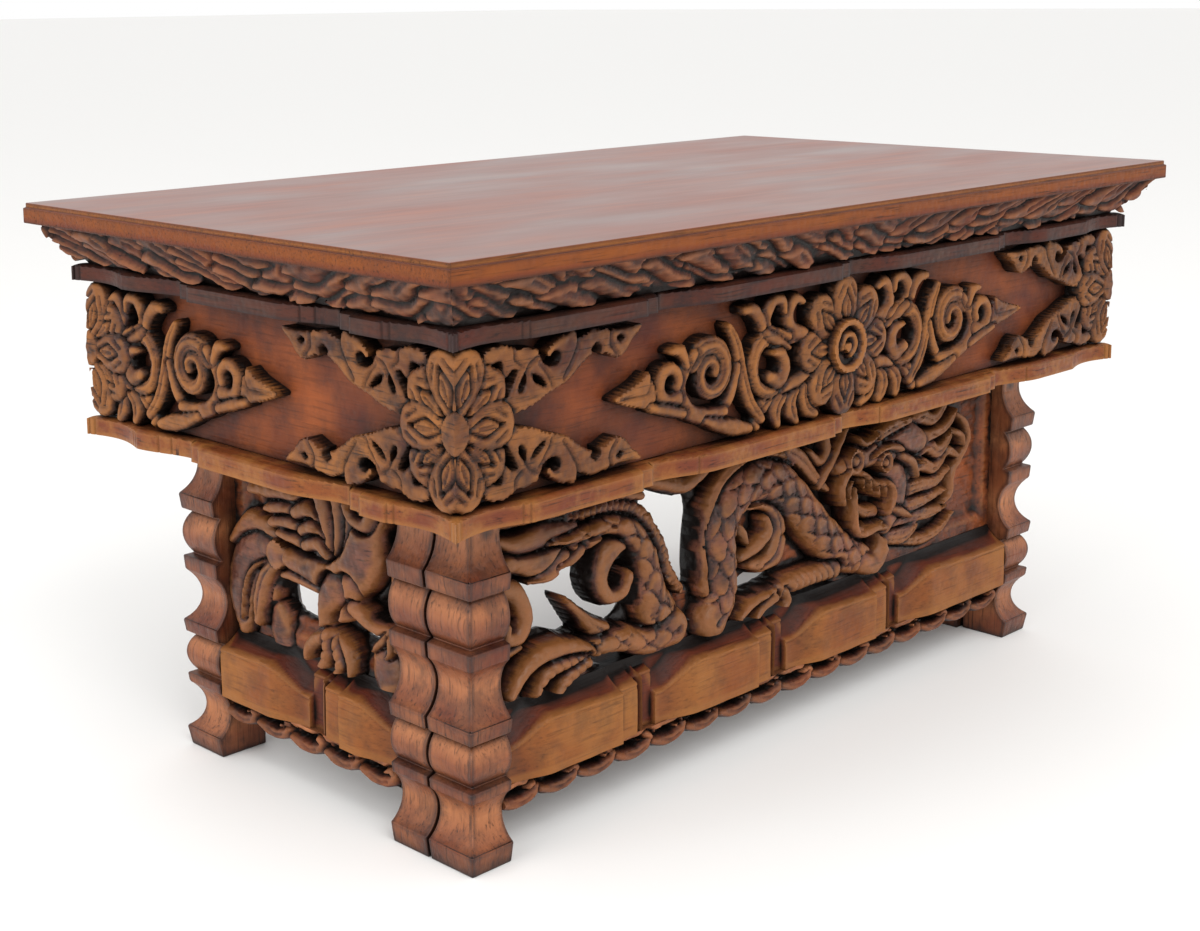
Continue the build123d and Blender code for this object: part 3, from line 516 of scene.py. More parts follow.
def scales(s, across, pitch):
    """Rows of round-tipped scales, each lying over the row behind it, 0 to 1 high."""
    width = pitch * 1.12
    height = np.zeros_like(s)
    free = np.ones(s.shape, bool)
    for ahead in (2, 1):
        row = np.floor(s / pitch) + ahead
        lean = (row * pitch - s) / (1.5 * pitch)
        side = across / width + 0.5 * (row % 2)
        side = (side - np.round(side)) / 0.56
        out = np.hypot(lean, side)
        here = free & (out < 1)
        height = np.where(here, 0.3 + 0.7 * lean - 1.1 * notch(out - 1, 0.17), height)
        free &= ~here
    return height


def surface_cut(cut, s, across, half, run, depth, pitch):
    """Depth change in mm that a kind of cut gives at each place of a stroke."""
    q = np.abs(across) / half
    if cut == "vein":
        return -depth * notch(across, 0.9) * np.clip((run - s) / 4, 0, 1)
    if cut == "scroll":
        return -depth * 0.8 * notch(q * half - 0.42 * half, 0.8)
    if cut == "scales":
        return 2.1 * (scales(s, across, pitch) - 0.45) * np.clip(1.6 - q, 0, 1)
    if cut == "fin":
        return -depth * notch(((s - 0.9 * np.abs(across)) / 3.4) % 1 - 0.5, 0.34)
    if cut == "bands":
        return -depth * notch(((s + 0.25 * across) / 4.6) % 1 - 0.5, 0.22)
    if cut == "feather":
        return -depth * (notch((across / half * 1.5) % 1 - 0.5, 0.3) * 0.8
                         + 0.3 * notch(((s + 2 * np.abs(across)) / 3.0) % 1 - 0.5, 0.3))
    return 0.0 * s


SNAP = 0.62  # grid steps from which an edge moves to the outline


class Board:
    """A board of wood over a fine grid, cut away stroke by stroke; all sizes in mm."""

    def __init__(self, left, right, bottom, top, fineness, level, solid):
        self.columns = round((right - left) / fineness)
        self.rows = round((top - bottom) / fineness)
        self.extent = (left, right, bottom, top)
        self.u, self.v = np.meshgrid(np.linspace(left, right, self.columns + 1),
                                     np.linspace(bottom, top, self.rows + 1))
        self.step_u = self.u[0, 1] - self.u[0, 0]
        self.step_v = self.v[1, 0] - self.v[0, 0]
        self.fineness = fineness
        self.height = np.full(self.u.shape, float(level))
        self.outside = np.full(self.u.shape, -9.0 if solid else 9.0)
        self.figure = np.zeros(self.u.shape, bool)

    def near(self, path, halves):
        """Slice of the grid that a stroke and the V-cut round it can touch."""
        left, _, bottom, _ = self.extent
        reach = halves.max() + 3.0
        low, high = path.min(0) - reach, path.max(0) + reach
        c0, c1 = int((low[0] - left) / self.step_u), int((high[0] - left) / self.step_u) + 2
        r0, r1 = int((low[1] - bottom) / self.step_v), int((high[1] - bottom) / self.step_v) + 2
        return slice(max(0, r0), max(0, r1)), slice(max(0, c0), max(0, c1))

    def measure(self, points, widths, toothed=0.0):
        """Distance along, across and outside of a stroke for each nearby grid point."""
        path, halves = smooth_path(points, widths)
        window = self.near(path, halves)
        u, v = self.u[window], self.v[window]
        gap = np.full(u.shape, 99.0)
        s, across, half = np.zeros_like(u), np.zeros_like(u), np.ones_like(u)
        run = 0.0
        for a, b, wa, wb in zip(path[:-1], path[1:], halves[:-1], halves[1:]):
            d = b - a
            size = math.hypot(*d)
            if size < 1e-6:
                continue
            share, reach = nearest_on(u, v, a, d, size ** 2)
            width = wa + (wb - wa) * share
            if toothed:
                width = width * (1 - toothed * (((run + share * size) / 6.5) % 1))
            closer = reach - width < gap
            side = np.sign(d[0] * (v - a[1]) - d[1] * (u - a[0]))
            gap = np.where(closer, reach - width, gap)
            s = np.where(closer, run + share * size, s)
            across = np.where(closer, side * reach, across)
            half = np.where(closer, width, half)
            run += size
        return window, s, across, half, gap, run

    def stroke(self, points, widths, lift, cut="plain", shoulder=0.55, base=0.0, rim=0.9,
               toothed=0.0):
        """Raise one leaf, scroll or limb, with a V-cut round it where it lies on others."""
        sizes = bpy.context.scene.altar_sizes
        depth, pitch = sizes.vein_depth / MM, sizes.scale_pitch / MM
        window, s, across, half, gap, run = self.measure(points, widths, toothed)
        q = np.clip(np.abs(across) / half, 0, 1)
        crown = shoulder + (1 - shoulder) * np.sqrt(1 - q ** 2)
        made = base + lift * crown + surface_cut(cut, s, across, half, run, depth, pitch)
        old = self.height[window]
        ring = old - rim * 1.3 * notch(np.clip(gap, 0, None), rim)
        self.height[window] = np.where(gap < 0, made, ring)
        self.outside[window] = np.minimum(self.outside[window], gap)
        self.figure[window] |= gap < 0.3

    def lay(self, gap, made):
        """Leave a form standing where the gap is below 0, with a V-cut round it."""
        ring = self.height - 1.2 * notch(np.clip(gap, 0, None), 0.9)
        self.height = np.where(gap < 0, made, ring)
        self.outside = np.minimum(self.outside, gap)
        self.figure |= gap < 0

    def bowl(self, centre, radius, lift, rise):
        """Round boss with its middle raised or sunk by rise."""
        away = np.hypot(self.u - centre[0], self.v - centre[1])
        self.lay(away - radius, lift + rise * np.clip(1 - (away / radius) ** 2, 0, 1))

    def score(self, points, depth, half):
        """Cut a V-line along a path."""
        window, _, _, _, gap, _ = self.measure(points, [0.1] * len(points))
        self.height[window] -= depth * notch(np.clip(gap, 0, None), half)

    def pierce(self, points, widths):
        """Cut a hole along a stroke, right through the board."""
        window, _, _, _, gap, _ = self.measure(points, widths)
        self.outside[window] = np.maximum(self.outside[window], -gap)

    def ring_gap(self, corners):
        """Distance outside a rounded ring of corners, negative within it."""
        ring = np.array([corners[-1], *corners, corners[0], corners[1]], float)
        edge = []
        for i in range(1, len(corners) + 1):
            for k in range(4):
                t = k / 4
                w = np.array([(1 - t) ** 3, 3 * t ** 3 - 6 * t * t + 4,
                              -3 * t ** 3 + 3 * t * t + 3 * t + 1, t ** 3]) / 6
                edge.append(0.45 * (w @ ring[i - 1:i + 3])
                            + 0.55 * ((1 - t) * ring[i] + t * ring[i + 1]))
        edge = np.array(edge)
        gap = np.full(self.u.shape, 99.0)
        inside = np.zeros(self.u.shape, bool)
        for a, b in zip(edge, np.roll(edge, -1, 0)):
            d = b - a
            gap = np.minimum(gap, nearest_on(self.u, self.v, a, d, d @ d)[1])
            crosses = (a[1] > self.v) != (b[1] > self.v)
            slope = d[0] / (d[1] if abs(d[1]) > 1e-9 else 1e-9)
            inside ^= crosses & (self.u < a[0] + (self.v - a[1]) * slope)
        return np.where(inside, -gap, gap)

    def pierce_shape(self, corners):
        """Cut a rounded hole through a ring of corners."""
        self.outside = np.maximum(self.outside, -self.ring_gap(corners))

    def raise_shape(self, corners, level):
        """Leave a flat leaf standing inside a ring of corners."""
        self.lay(self.ring_gap(corners), level)

    def sink_shape(self, corners, level):
        """Hollow the board inside a ring of corners down to a level."""
        share = np.clip(-self.ring_gap(corners) / 2.5, 0, 1)
        self.height = self.height * (1 - share) + np.minimum(self.height, level) * share

    def soften(self, reach, drop):
        """Round every outer edge over."""
        self.height -= drop * np.clip(1 + self.outside / reach, 0, 1) ** 2

    def gouge(self, depth):
        """Leave the small facets of a gouge all over."""
        u, v = self.u, self.v
        sweep = sum(np.arcsin(np.sin(u * a + v * b + c + 1.6 * np.sin(u * d + v * e)))
                    for a, b, c, d, e in ((0.9, 0.5, 0, 0.11, 0.17), (-0.4, 1.1, 1, 0.19, -0.07),
                                          (0.3, -1.4, 2, -0.13, 0.05)))
        self.height += depth * sweep / 4

    def wear(self):
        """How far each place stands above the wood round it: below 0.5 in a cut, above it on a
        ridge; the finish darkens the cuts as stain and painted shade and rubs the ridges pale.
        """
        wood = (self.outside < 0.3).astype(float)
        total, weight = self.height * wood, wood.copy()
        spread = max(1, round(2.4 / self.fineness))
        for _ in range(2):
            for axis in (0, 1):
                total, weight = [sum(np.roll(each, k, axis) for k in range(-spread, spread + 1))
                                 for each in (total, weight)]
        mean = total / np.maximum(weight, 1e-6)
        return np.clip(0.5 + (self.height - mean) / 2.6, 0, 1)

    def solid(self, ground=None, thin=0.0):
        """Closed bmesh of the board in its own mm frame: u, v and height above the back.

        The mask `ground` goes into the "ground" attribute. The back is undercut by up to `thin`
        mm along its edges.
        """
        left, right, bottom, top = self.extent
        bm = bmesh.new()
        bmesh.ops.create_grid(bm, x_segments=self.columns, y_segments=self.rows, size=0.5)
        bmesh.ops.translate(bm, verts=bm.verts[:], vec=(0.5, 0.5, 0))
        bmesh.ops.scale(bm, verts=bm.verts[:], vec=(right - left, top - bottom, 1))
        bmesh.ops.translate(bm, verts=bm.verts[:], vec=(left, bottom, 0))
        cell = bm.verts.layers.int.new("cell")
        wear_and_shade_layer = bm.verts.layers.float.new("wear")
        ground_layer = bm.verts.layers.float.new("ground")
        slope_v, slope_u = np.gradient(self.outside, self.step_v, self.step_u)
        steep = np.maximum(np.hypot(slope_u, slope_v), 0.5)
        near = np.abs(self.outside) < SNAP * self.fineness
        shift_u = np.where(near, -self.outside * slope_u / steep ** 2, 0).ravel()
        shift_v = np.where(near, -self.outside * slope_v / steep ** 2, 0).ravel()
        wood = ((self.outside <= 0) | near).ravel()
        outside, height, wear = self.outside.ravel(), self.height.ravel(), self.wear().ravel()
        for vert in bm.verts:
            row = round((vert.co.y - bottom) / self.step_v)
            column = round((vert.co.x - left) / self.step_u)
            index = row * (self.columns + 1) + column
            vert[cell] = index
            vert[wear_and_shade_layer] = min(0.5, 0.1 - 0.1 * outside[index])
            vert[ground_layer] = 1.0
            vert.co.x = min(right, max(left, vert.co.x + shift_u[index]))
            vert.co.y = min(top, max(bottom, vert.co.y + shift_v[index]))
        gone = [vert for vert in bm.verts if not wood[vert[cell]]]
        bmesh.ops.delete(bm, geom=gone, context="VERTS")
        alone = [vert for vert in bm.verts if not vert.link_faces]
        bmesh.ops.delete(bm, geom=alone, context="VERTS")
        raised = bmesh.ops.extrude_face_region(bm, geom=bm.faces[:])["geom"]
        for part in raised:
            if isinstance(part, bmesh.types.BMVert):
                part.co.z = max(thin + 1.5, height[part[cell]])
                part[wear_and_shade_layer] = wear[part[cell]]
                part[ground_layer] = 0 if ground is None else float(ground.flat[part[cell]])
        for vert in bm.verts:
            if thin and vert.co.z == 0:
                vert.co.z = thin * max(0, 1 - max(0, -outside[vert[cell]]) / thin)
        return bm


def stand(bm, origin, along, up, out):
    """Move a bmesh from board millimetres to its place in the table, in metres."""
    columns = [Vector(along), Vector(up), Vector(out)]
    turn = Matrix([[c[i] for c in columns] for i in range(3)]).to_4x4()
    bmesh.ops.transform(bm, matrix=Matrix.Scale(MM, 4) @ Matrix.Translation(origin) @ turn,
                        verts=bm.verts[:])


def trim(bm, point, away):
    """Cut everything on the far side of a plane and close the cut."""
    bmesh.ops.bisect_plane(bm, geom=bm.verts[:] + bm.edges[:] + bm.faces[:], dist=1e-7,
                           plane_co=point, plane_no=away, clear_outer=True)
    open_edges = [e for e in bm.edges if e.is_boundary]
    bmesh.ops.holes_fill(bm, edges=open_edges, sides=0)


def mitre(bm, half, reach, along, out):
    """Mitre both ends of a strip at the corners of its ring; sizes in mm."""
    for end in (-1, 1):
        trim(bm, (along * half * end + out * reach) * MM, along * end - out)


def join_core(bm, name, point, facing):
    """Join the frame's piece behind a plane to the carved strip in front of it."""
    core = merged_copy(name)
    trim(core, point * MM, facing)
    mesh = bpy.data.meshes.new("core")
    core.to_mesh(mesh)
    core.free()
    bm.from_mesh(mesh)
    bpy.data.meshes.remove(mesh)


# ------------------------------------------------------------------ ornament

SCROLL_LIFT = 8.3  # height of the frieze's scrolls, mm


def flower(board, lift, button):
    """Broad petals with V-cut lines round a ringed button, or round a corner of the frieze."""
    petals = (0, 180, 45, 135, 225, 315, 90, 270) if button else (35, -35, 70, -70, 0)
    for place, degrees in enumerate(petals):
        a = radians(degrees)

        def at(r, side):
            return (r * cos(a) - side * sin(a), r * sin(a) + side * cos(a))

        board.stroke([at(r, 0) for r in (5, 12, 18, 23, 25)], (6, 11, 17, 18, 11),
                     lift - 0.5 * (place % 2), shoulder=0.8, rim=1.2)
        for side in (-1, 1):
            board.score([at(9, 0.4 * side), at(14, 2.8 * side), at(18, 3.4 * side),
                         at(25, 0)], 1.6, 0.85)
            board.score([at(22, 6.0 * side), at(27, 3.0 * side)], 1.0, 0.7)
        board.score([at(13, 0), at(20, 0)], 0.9, 0.7)
    if button:
        board.bowl((0, 0), 12.2, button - 0.6, 0.6)
        board.bowl((0, 0), 8.8, button - 3.4, -0.4)
        board.stroke([(-5, -1), (-2, 4.5), (3.5, 4), (5, -1), (1, -5)], (3, 4.4, 5, 4.4, 2.4),
                     button - 1.0, shoulder=0.5)
        board.bowl((-1, -0.6), 2.6, button - 1.4, 0.8)
    else:
        board.bowl((0, 0), 8.2, lift - 0.6, 0.6)


def lozenge_arm(board, shift, sign, tip=150):
    """Half of a pointed panel of scrolls; shift moves the scrolls towards the tip."""
    def at(points):
        return [(sign * (u + shift), v) for u, v in points]

    def leaf(points, widths, sunk=0.0, cut="plain"):
        board.stroke(at(points), widths, SCROLL_LIFT - sunk, cut, shoulder=0.7, rim=1.2)

    def curl(*winding, cut="scroll"):
        leaf(*volute(*winding), 0.0, cut)

    # leaf fingers that hang under the flower's side
    for spine in ([(38, -12), (50, -15), (57, -20), (60, -27)],
                  [(35, -12), (43, -17), (47, -22), (46, -28.5)],
                  [(31, -13), (36, -19), (36, -24), (33, -29)],
                  [(27, -14), (27, -20), (24, -25), (19, -28)]):
        leaf(spine, (4, 7.5, 9, 5), 0.6, "vein")
    leaf([(22, 6), (32, 9), (40, 8), (50, 7)], (7, 8, 7, 4))
    leaf([(24, -8), (32, -11), (42, -13)], (6, 7, 5), 0.4)
    # two hooked leaves above
    leaf([(28, 9), (37, 12), (39.5, 19), (35, 25), (29.5, 23)], (6, 8, 7, 6.5, 3.5))
    leaf([(40, 9), (50, 11), (55.5, 17), (51, 25), (44, 25.5), (42.5, 20)],
         (6, 9, 7.5, 6.5, 5.5, 3))
    leaf([(69, 24), (63, 23.5), (58, 18), (56, 11)], (4.5, 7, 6.5, 4), 0.4)
    # C-scroll with its round heart
    curl((51, -2), 13.2, 10.5, 92, -0.68, 8, 5)
    leaf([(54, 12), (46, 8), (38, 4)], (5, 6, 3), 0.8)
    leaf([(52, -7), (45, -9), (41.5, -4), (44, 2), (51, 3.5)], (6, 8.5, 8, 6.5, 2.5))
    # slanting stems between the scrolls
    leaf([(79, 18.5), (74, 10), (70, -3), (65, -15), (57, -24)], (4, 7, 7, 7, 5), 0.4, "vein")
    leaf([(73, 1), (77, -10), (84, -19)], (4, 6, 5), 0.8)
    # great scroll
    curl((91, 1), 12.6, 3.2, 25, 1.45, 9, 5.2)
    leaf([(101, 10), (107, 4), (110, -4), (104, -13), (94, -17), (82, -17)],
         (5, 7, 8, 8, 8, 6), 0.5)
    leaf([(94, -19), (84, -22.5), (74, -25), (65, -27)], (4, 7, 8.5, 5), 0.4)
    # comma scroll and the pointed tip
    curl((116, 0.5), 8.2, 4.4, -120, 0.92, 7.6, 5, cut="plain")
    leaf([(106, 6), (109, 12), (115, 13)], (4, 6.5, 3), 0.4)
    far = tip - shift
    board.raise_shape(at([(124, -8.5), (125.5, 0), (129, 8), (135, 3.5), (far - 1, -0.6),
                          (far, -2.2), (138, -6.5)]), SCROLL_LIFT - 0.6)
    board.score(at([(128, 4), (131, -2), (far - 4, -1.6)]), 0.8, 0.7)
    leaf([(128, -8), (118, -10.5), (108, -13.5)], (4, 6, 5), 0.5)


def corner_arms(board):
    """Two pierced leaf arms that run from a corner flower along the frieze."""
    for up in (1, -1):
        def at(points):
            return [(u, v * up) for u, v in points]

        level = SCROLL_LIFT if up > 0 else SCROLL_LIFT - 0.3
        board.raise_shape(at([(12, 20), (18, 28.5), (27, 29.6), (34, 26.5), (45, 26), (45.5, 21.5),
                              (49, 20), (50, 25), (56, 28.5), (64.5, 30.2), (66.5, 25.5),
                              (72, 28.8), (80, 28.4), (88, 26.6), (105, 27.4), (97, 22),
                              (93, 17), (88, 15), (81, 18.5), (72, 18.5), (66, 14.5), (60, 10),
                              (50, 7.6), (42, 4), (32, 2), (22, 6), (14, 10)]), level)
        for hole in ([(21, 22.6), (25.5, 23.2), (27, 20), (24, 17.6), (20.8, 19)],
                     [(24.5, 7), (28, 8), (35, 18.6), (31, 19.4), (25, 13.5)],
                     [(34, 10), (36.6, 10), (38.6, 13), (38.8, 17.6), (35, 14)],
                     [(40, 17), (43, 12.6), (50, 9.2), (46.5, 14.5)],
                     [(46.8, 19.4), (52, 17), (56.5, 18.4), (57.2, 22.2), (53.4, 23.6), (51, 21),
                      (46, 24)],
                     [(73, 21), (76.4, 23.6), (79.6, 21.4), (79, 18), (75, 17)],
                     [(87.6, 23.8), (89.4, 21.6), (92.4, 22.6), (90.4, 24.8)]):
            board.pierce_shape(at(hole))
        for line in ([(33, 29), (32.5, 23), (36, 20)], [(45, 20), (50, 14), (52, 10)],
                     [(58, 12), (65, 22), (66, 27)], [(85, 28), (84, 22), (88, 17)],
                     [(20, 8), (26, 4), (33, 4)], [(44, 22), (40, 20), (38, 17)]):
            board.score(at(line), 1.0, 0.8)
        board.stroke(at([(12, 12), (17, 17), (16, 23)]), (8, 8, 4), level + 0.4, shoulder=0.8)


def carve_frieze_piece(name, reach, draw, place, fineness, mitred=True):
    """Draw, cut out and place one applied carving of the frieze."""
    half_height = 30.8
    board = Board(-0.4 if mitred else -reach, reach, -half_height, half_height, fineness,
                  level=4.0, solid=False)
    draw(board)
    board.soften(reach=1.7, drop=1.1)
    board.gouge(depth=0.16)
    board.height = np.minimum(board.height, 10.0 if mitred else 12.0)
    bm = board.solid()
    if mitred:
        # against its neighbour round the corner, 10 mm out from both friezes
        trim(bm, (10, 0, 0), (-1, 0, -1))
    stand(bm, *place)
    settle(bm, name, "carved", "golden_carved_hardwood", smooth=55)


# figures of the openwork panels: spine, widths, lift above the ground, kind of cut if not plain
DRAGON_HOLES = [
    [(-170, 112), (-152, 109), (-138, 116), (-121, 120), (-108, 115), (-101, 106), (-99, 94),
     (-101, 83), (-110, 78), (-126, 84), (-140, 81), (-150, 86), (-164, 86), (-162, 98)],
    [(-92, 135), (-78, 134), (-61, 131), (-57, 115), (-57, 98), (-58, 84), (-67, 82),
     (-79, 92), (-83, 104), (-83, 112), (-89, 121)],
    [(-126, 68), (-112, 66), (-98, 61.5), (-108, 60), (-128, 63)],
    [(-32, 73), (-18, 79), (-4, 79), (4, 76), (-8, 72), (-20, 70)],
    [(4, 62), (20, 65.5), (44, 64), (46, 60), (6, 60)],
]
DRAGON = [
    # ground leaves, fins and the waving band behind the body
    ([(-95, 139), (-80, 134), (-68, 132), (-52, 139)], (6, 9, 9, 5), 9),
    ([(-184, 137), (-150, 136), (-118, 136), (-98, 133)], (3, 6, 7, 5), 8),
    ([(-150, 131), (-125, 132.5), (-106, 129), (-94, 120), (-86, 108), (-81, 97), (-72, 86)],
     (5, 7, 8, 10, 11, 9, 6), 8.6, "fin"),
    ([(-56, 80), (-57, 92), (-56, 108), (-52, 122), (-44, 131), (-28, 136), (-8, 135),
      (8, 128)], (4, 6, 6, 7, 7, 7, 6, 4), 9.5, "scroll"),
    # tail leaf with its teeth
    ([(-126, 121), (-142, 119), (-158, 117), (-172, 121), (-184, 119)], (8, 13, 15, 12, 5), 9.4),
    ([(-140, 127), (-158, 128), (-172, 127), (-186, 132)], (8, 12, 9, 3), 9.0),
    ([(-146, 116), (-154, 111), (-165, 110)], (10, 9, 2), 9.0),
    ([(-136, 117), (-142, 113.5), (-150, 113)], (8, 6, 2), 8.6),
    # flames
    ([(-108, 117), (-119, 113), (-125, 103), (-120, 94), (-111, 94), (-106, 101)],
     (10, 13, 11, 9.5, 8, 4), 10),
    ([(-145, 99), (-139, 93), (-132, 86), (-122, 79)], (2, 5, 8, 11), 9, "vein"),
    ([(-186, 112), (-174, 108), (-168.5, 98), (-172, 89.5), (-179.5, 90), (-179, 95)],
     (8, 10, 9.5, 8.5, 7, 4), 10),
    ([(-186, 84), (-178, 83), (-170, 84)], (6, 6, 3), 7),
    ([(-27, 114), (-13, 113), (-5, 104), (-4, 93), (-12, 85), (-25, 86)], (4, 8, 10, 11, 9, 4), 9,
     "vein"),
    ([(-32, 91), (-20, 94), (-12, 99), (-14, 106)], (5, 8, 7, 4), 9.5),
    ([(-34, 106), (-30, 102), (-28, 97)], (5, 6, 3), 9.0),
    ([(4, 134), (14, 128), (24, 118), (34, 110)], (8, 9, 7, 3), 8.0, "vein"),
    ([(22, 130), (30, 124), (36, 128), (34, 137)], (4, 6, 6, 3), 6.5),
    ([(26, 112), (32, 118), (38, 124), (48, 138)], (3, 5, 5, 3), 8.5),
    ([(0, 92), (-4, 84), (-16, 81)], (8, 8, 3), 7.5),
    # body
    ([(-156, 124.5), (-140, 124.5), (-122, 125.5), (-108, 120.5), (-99, 111), (-94, 98),
      (-91, 86), (-84, 73)], (2, 6, 9, 12, 14, 16, 19, 25), 11.5, "scales"),
    ([(-52, 66), (-45, 76), (-45, 90), (-46, 104), (-40, 117), (-24, 125), (-5, 121), (9, 110),
      (21, 98), (34, 86), (48, 76), (62, 70)],
     (20, 20, 21, 22, 22, 21, 21, 21, 21, 21, 20, 16), 12.0, "scales"),
    ([(62, 68), (72, 65), (79, 72), (79, 82)], (12, 12, 11, 8), 11),
    # legs and claws
    ([(-78, 70), (-96, 68), (-112, 73), (-130, 74)], (19, 13, 12, 9), 11.5, "scales"),
    ([(-132, 73), (-142, 77.5), (-157, 79), (-170, 75), (-179, 66)], (7, 8.5, 8.5, 7.5, 4), 11.5),
    ([(-134, 71), (-146, 72), (-158, 70), (-165, 63)], (6, 7, 6.5, 3), 11.5, "bands"),
    ([(-134, 69), (-144, 66), (-152, 61)], (6, 7, 4), 11.5, "bands"),
    ([(38, 70), (22, 70), (4, 70), (-12, 68)], (12, 10, 9, 9), 11.0, "bands"),
    ([(-8, 69), (-22, 69), (-34, 63)], (7, 6, 2.5), 11.0),
    ([(-8, 67), (-18, 64), (-25, 58)], (6, 5, 2.5), 11.2),
    ([(0, 68), (2, 63), (-4, 57)], (6, 5, 2.5), 10.6),
    # mane
    ([(100, 70), (118, 67), (134, 69), (146, 76)], (4, 6, 5, 2), 6.0, "vein"),
    ([(84, 76), (98, 74), (108, 78), (116, 86)], (8, 10, 8, 4), 8.5, "feather"),
    ([(86, 84), (104, 83), (122, 81), (136, 82)], (9, 9, 7, 3), 8.5, "feather"),
    ([(90, 90), (106, 89), (120, 90), (133, 91.5)], (8, 8, 6, 2), 10.0, "feather"),
    ([(92, 97), (108, 97.5), (124, 97), (136, 102)], (9, 8, 7, 3), 9.5, "feather"),
    ([(98, 105), (112, 108), (124, 104), (135, 111), (146, 106)], (9, 8, 7, 6, 3), 9.0, "vein"),
    ([(104, 114), (117, 117), (128, 112), (140, 121)], (9, 9, 8, 3), 9.0, "vein"),
    ([(106, 121), (120, 122), (132, 124), (142, 131)], (9, 7, 6, 3), 9.5, "vein"),
    ([(98, 129), (110, 133), (122, 130), (134, 139)], (8, 9, 7, 3), 9.5, "vein"),
    ([(133, 84), (140, 88), (141, 98), (149, 106), (155, 114), (152, 123), (143, 129)],
     (3, 5, 5, 5, 5, 5, 3), 8.5),
    ([(141, 120), (148, 117), (150, 112)], (4, 5, 3), 9.0),
    # head: skull and cheek, neck folds, jaws, lip, brow, snout
    ([(84, 112), (90, 102), (88, 92), (80, 82)], (18, 20, 18, 9), 10.5),
    ([(42, 119), (58, 122), (76, 124), (94, 124), (108, 121)], (9, 15, 20, 22, 13), 11.4),
    ([(70, 130), (82, 133), (96, 134)], (7, 9, 5), 11.8, "vein"),
    ([(54, 132), (60, 128), (70, 131)], (3, 5, 3), 11.5),
    ([(64, 121), (74, 123.5), (86, 122), (97, 114), (110, 110)], (3, 4.5, 5, 5, 2), 13.0),
    ([(90, 117), (100, 112), (104, 104)], (5, 7, 3), 12.0),
    ([(82, 92), (92, 88), (100, 84)], (4, 6, 2), 12.0),
    ([(41, 102), (40, 111), (46, 116.5), (58, 113.5), (68, 107), (80, 104.5), (83, 97), (78, 90)],
     (3, 4.4, 4.6, 4, 4, 4.4, 4.4, 3), 13.0),
    ([(46, 104), (45.5, 109), (48, 112)], (2.5, 3.2, 2), 12.5),
    ([(50, 108), (51, 97), (53, 87), (60, 83.5), (70, 84.5), (78, 83)], (3, 5, 5.6, 5.6, 5.4, 4),
     12.6),
]
DRAGON_MOUTH = [(53, 106), (60, 110), (68, 104), (79, 101), (78, 92), (72, 88), (58, 88), (54, 92)]
DRAGON_TEETH = [
    ([(57, 111), (58, 105)], (3.4, 0.8)), ([(63, 109), (64.5, 102.5)], (3.6, 0.8)),
    ([(70, 105), (70.5, 99.5)], (3.4, 0.8)), ([(76, 103.5), (76, 98.5)], (3.2, 0.8)),
    ([(57, 86), (57.5, 91)], (3.2, 0.8)), ([(74, 87), (73.5, 92)], (3.2, 0.8)),
]
BIRD_HOLES = [
    [(-37, 95), (-22, 91), (-7, 89), (-4, 84), (-4, 76), (-20, 75), (-36, 76)],
    [(30, 98), (39, 107), (44, 103), (47.4, 100), (47.4, 91), (36, 88), (27, 91)],
    [(33, 126), (40, 129), (47.4, 131), (47.4, 120), (40, 117), (35, 120)],
    [(13, 83), (22, 82), (31, 78), (26, 75.5), (12, 76)],
    [(-53, 126), (-41, 127.5), (-37, 120.5), (-50, 118)],
]
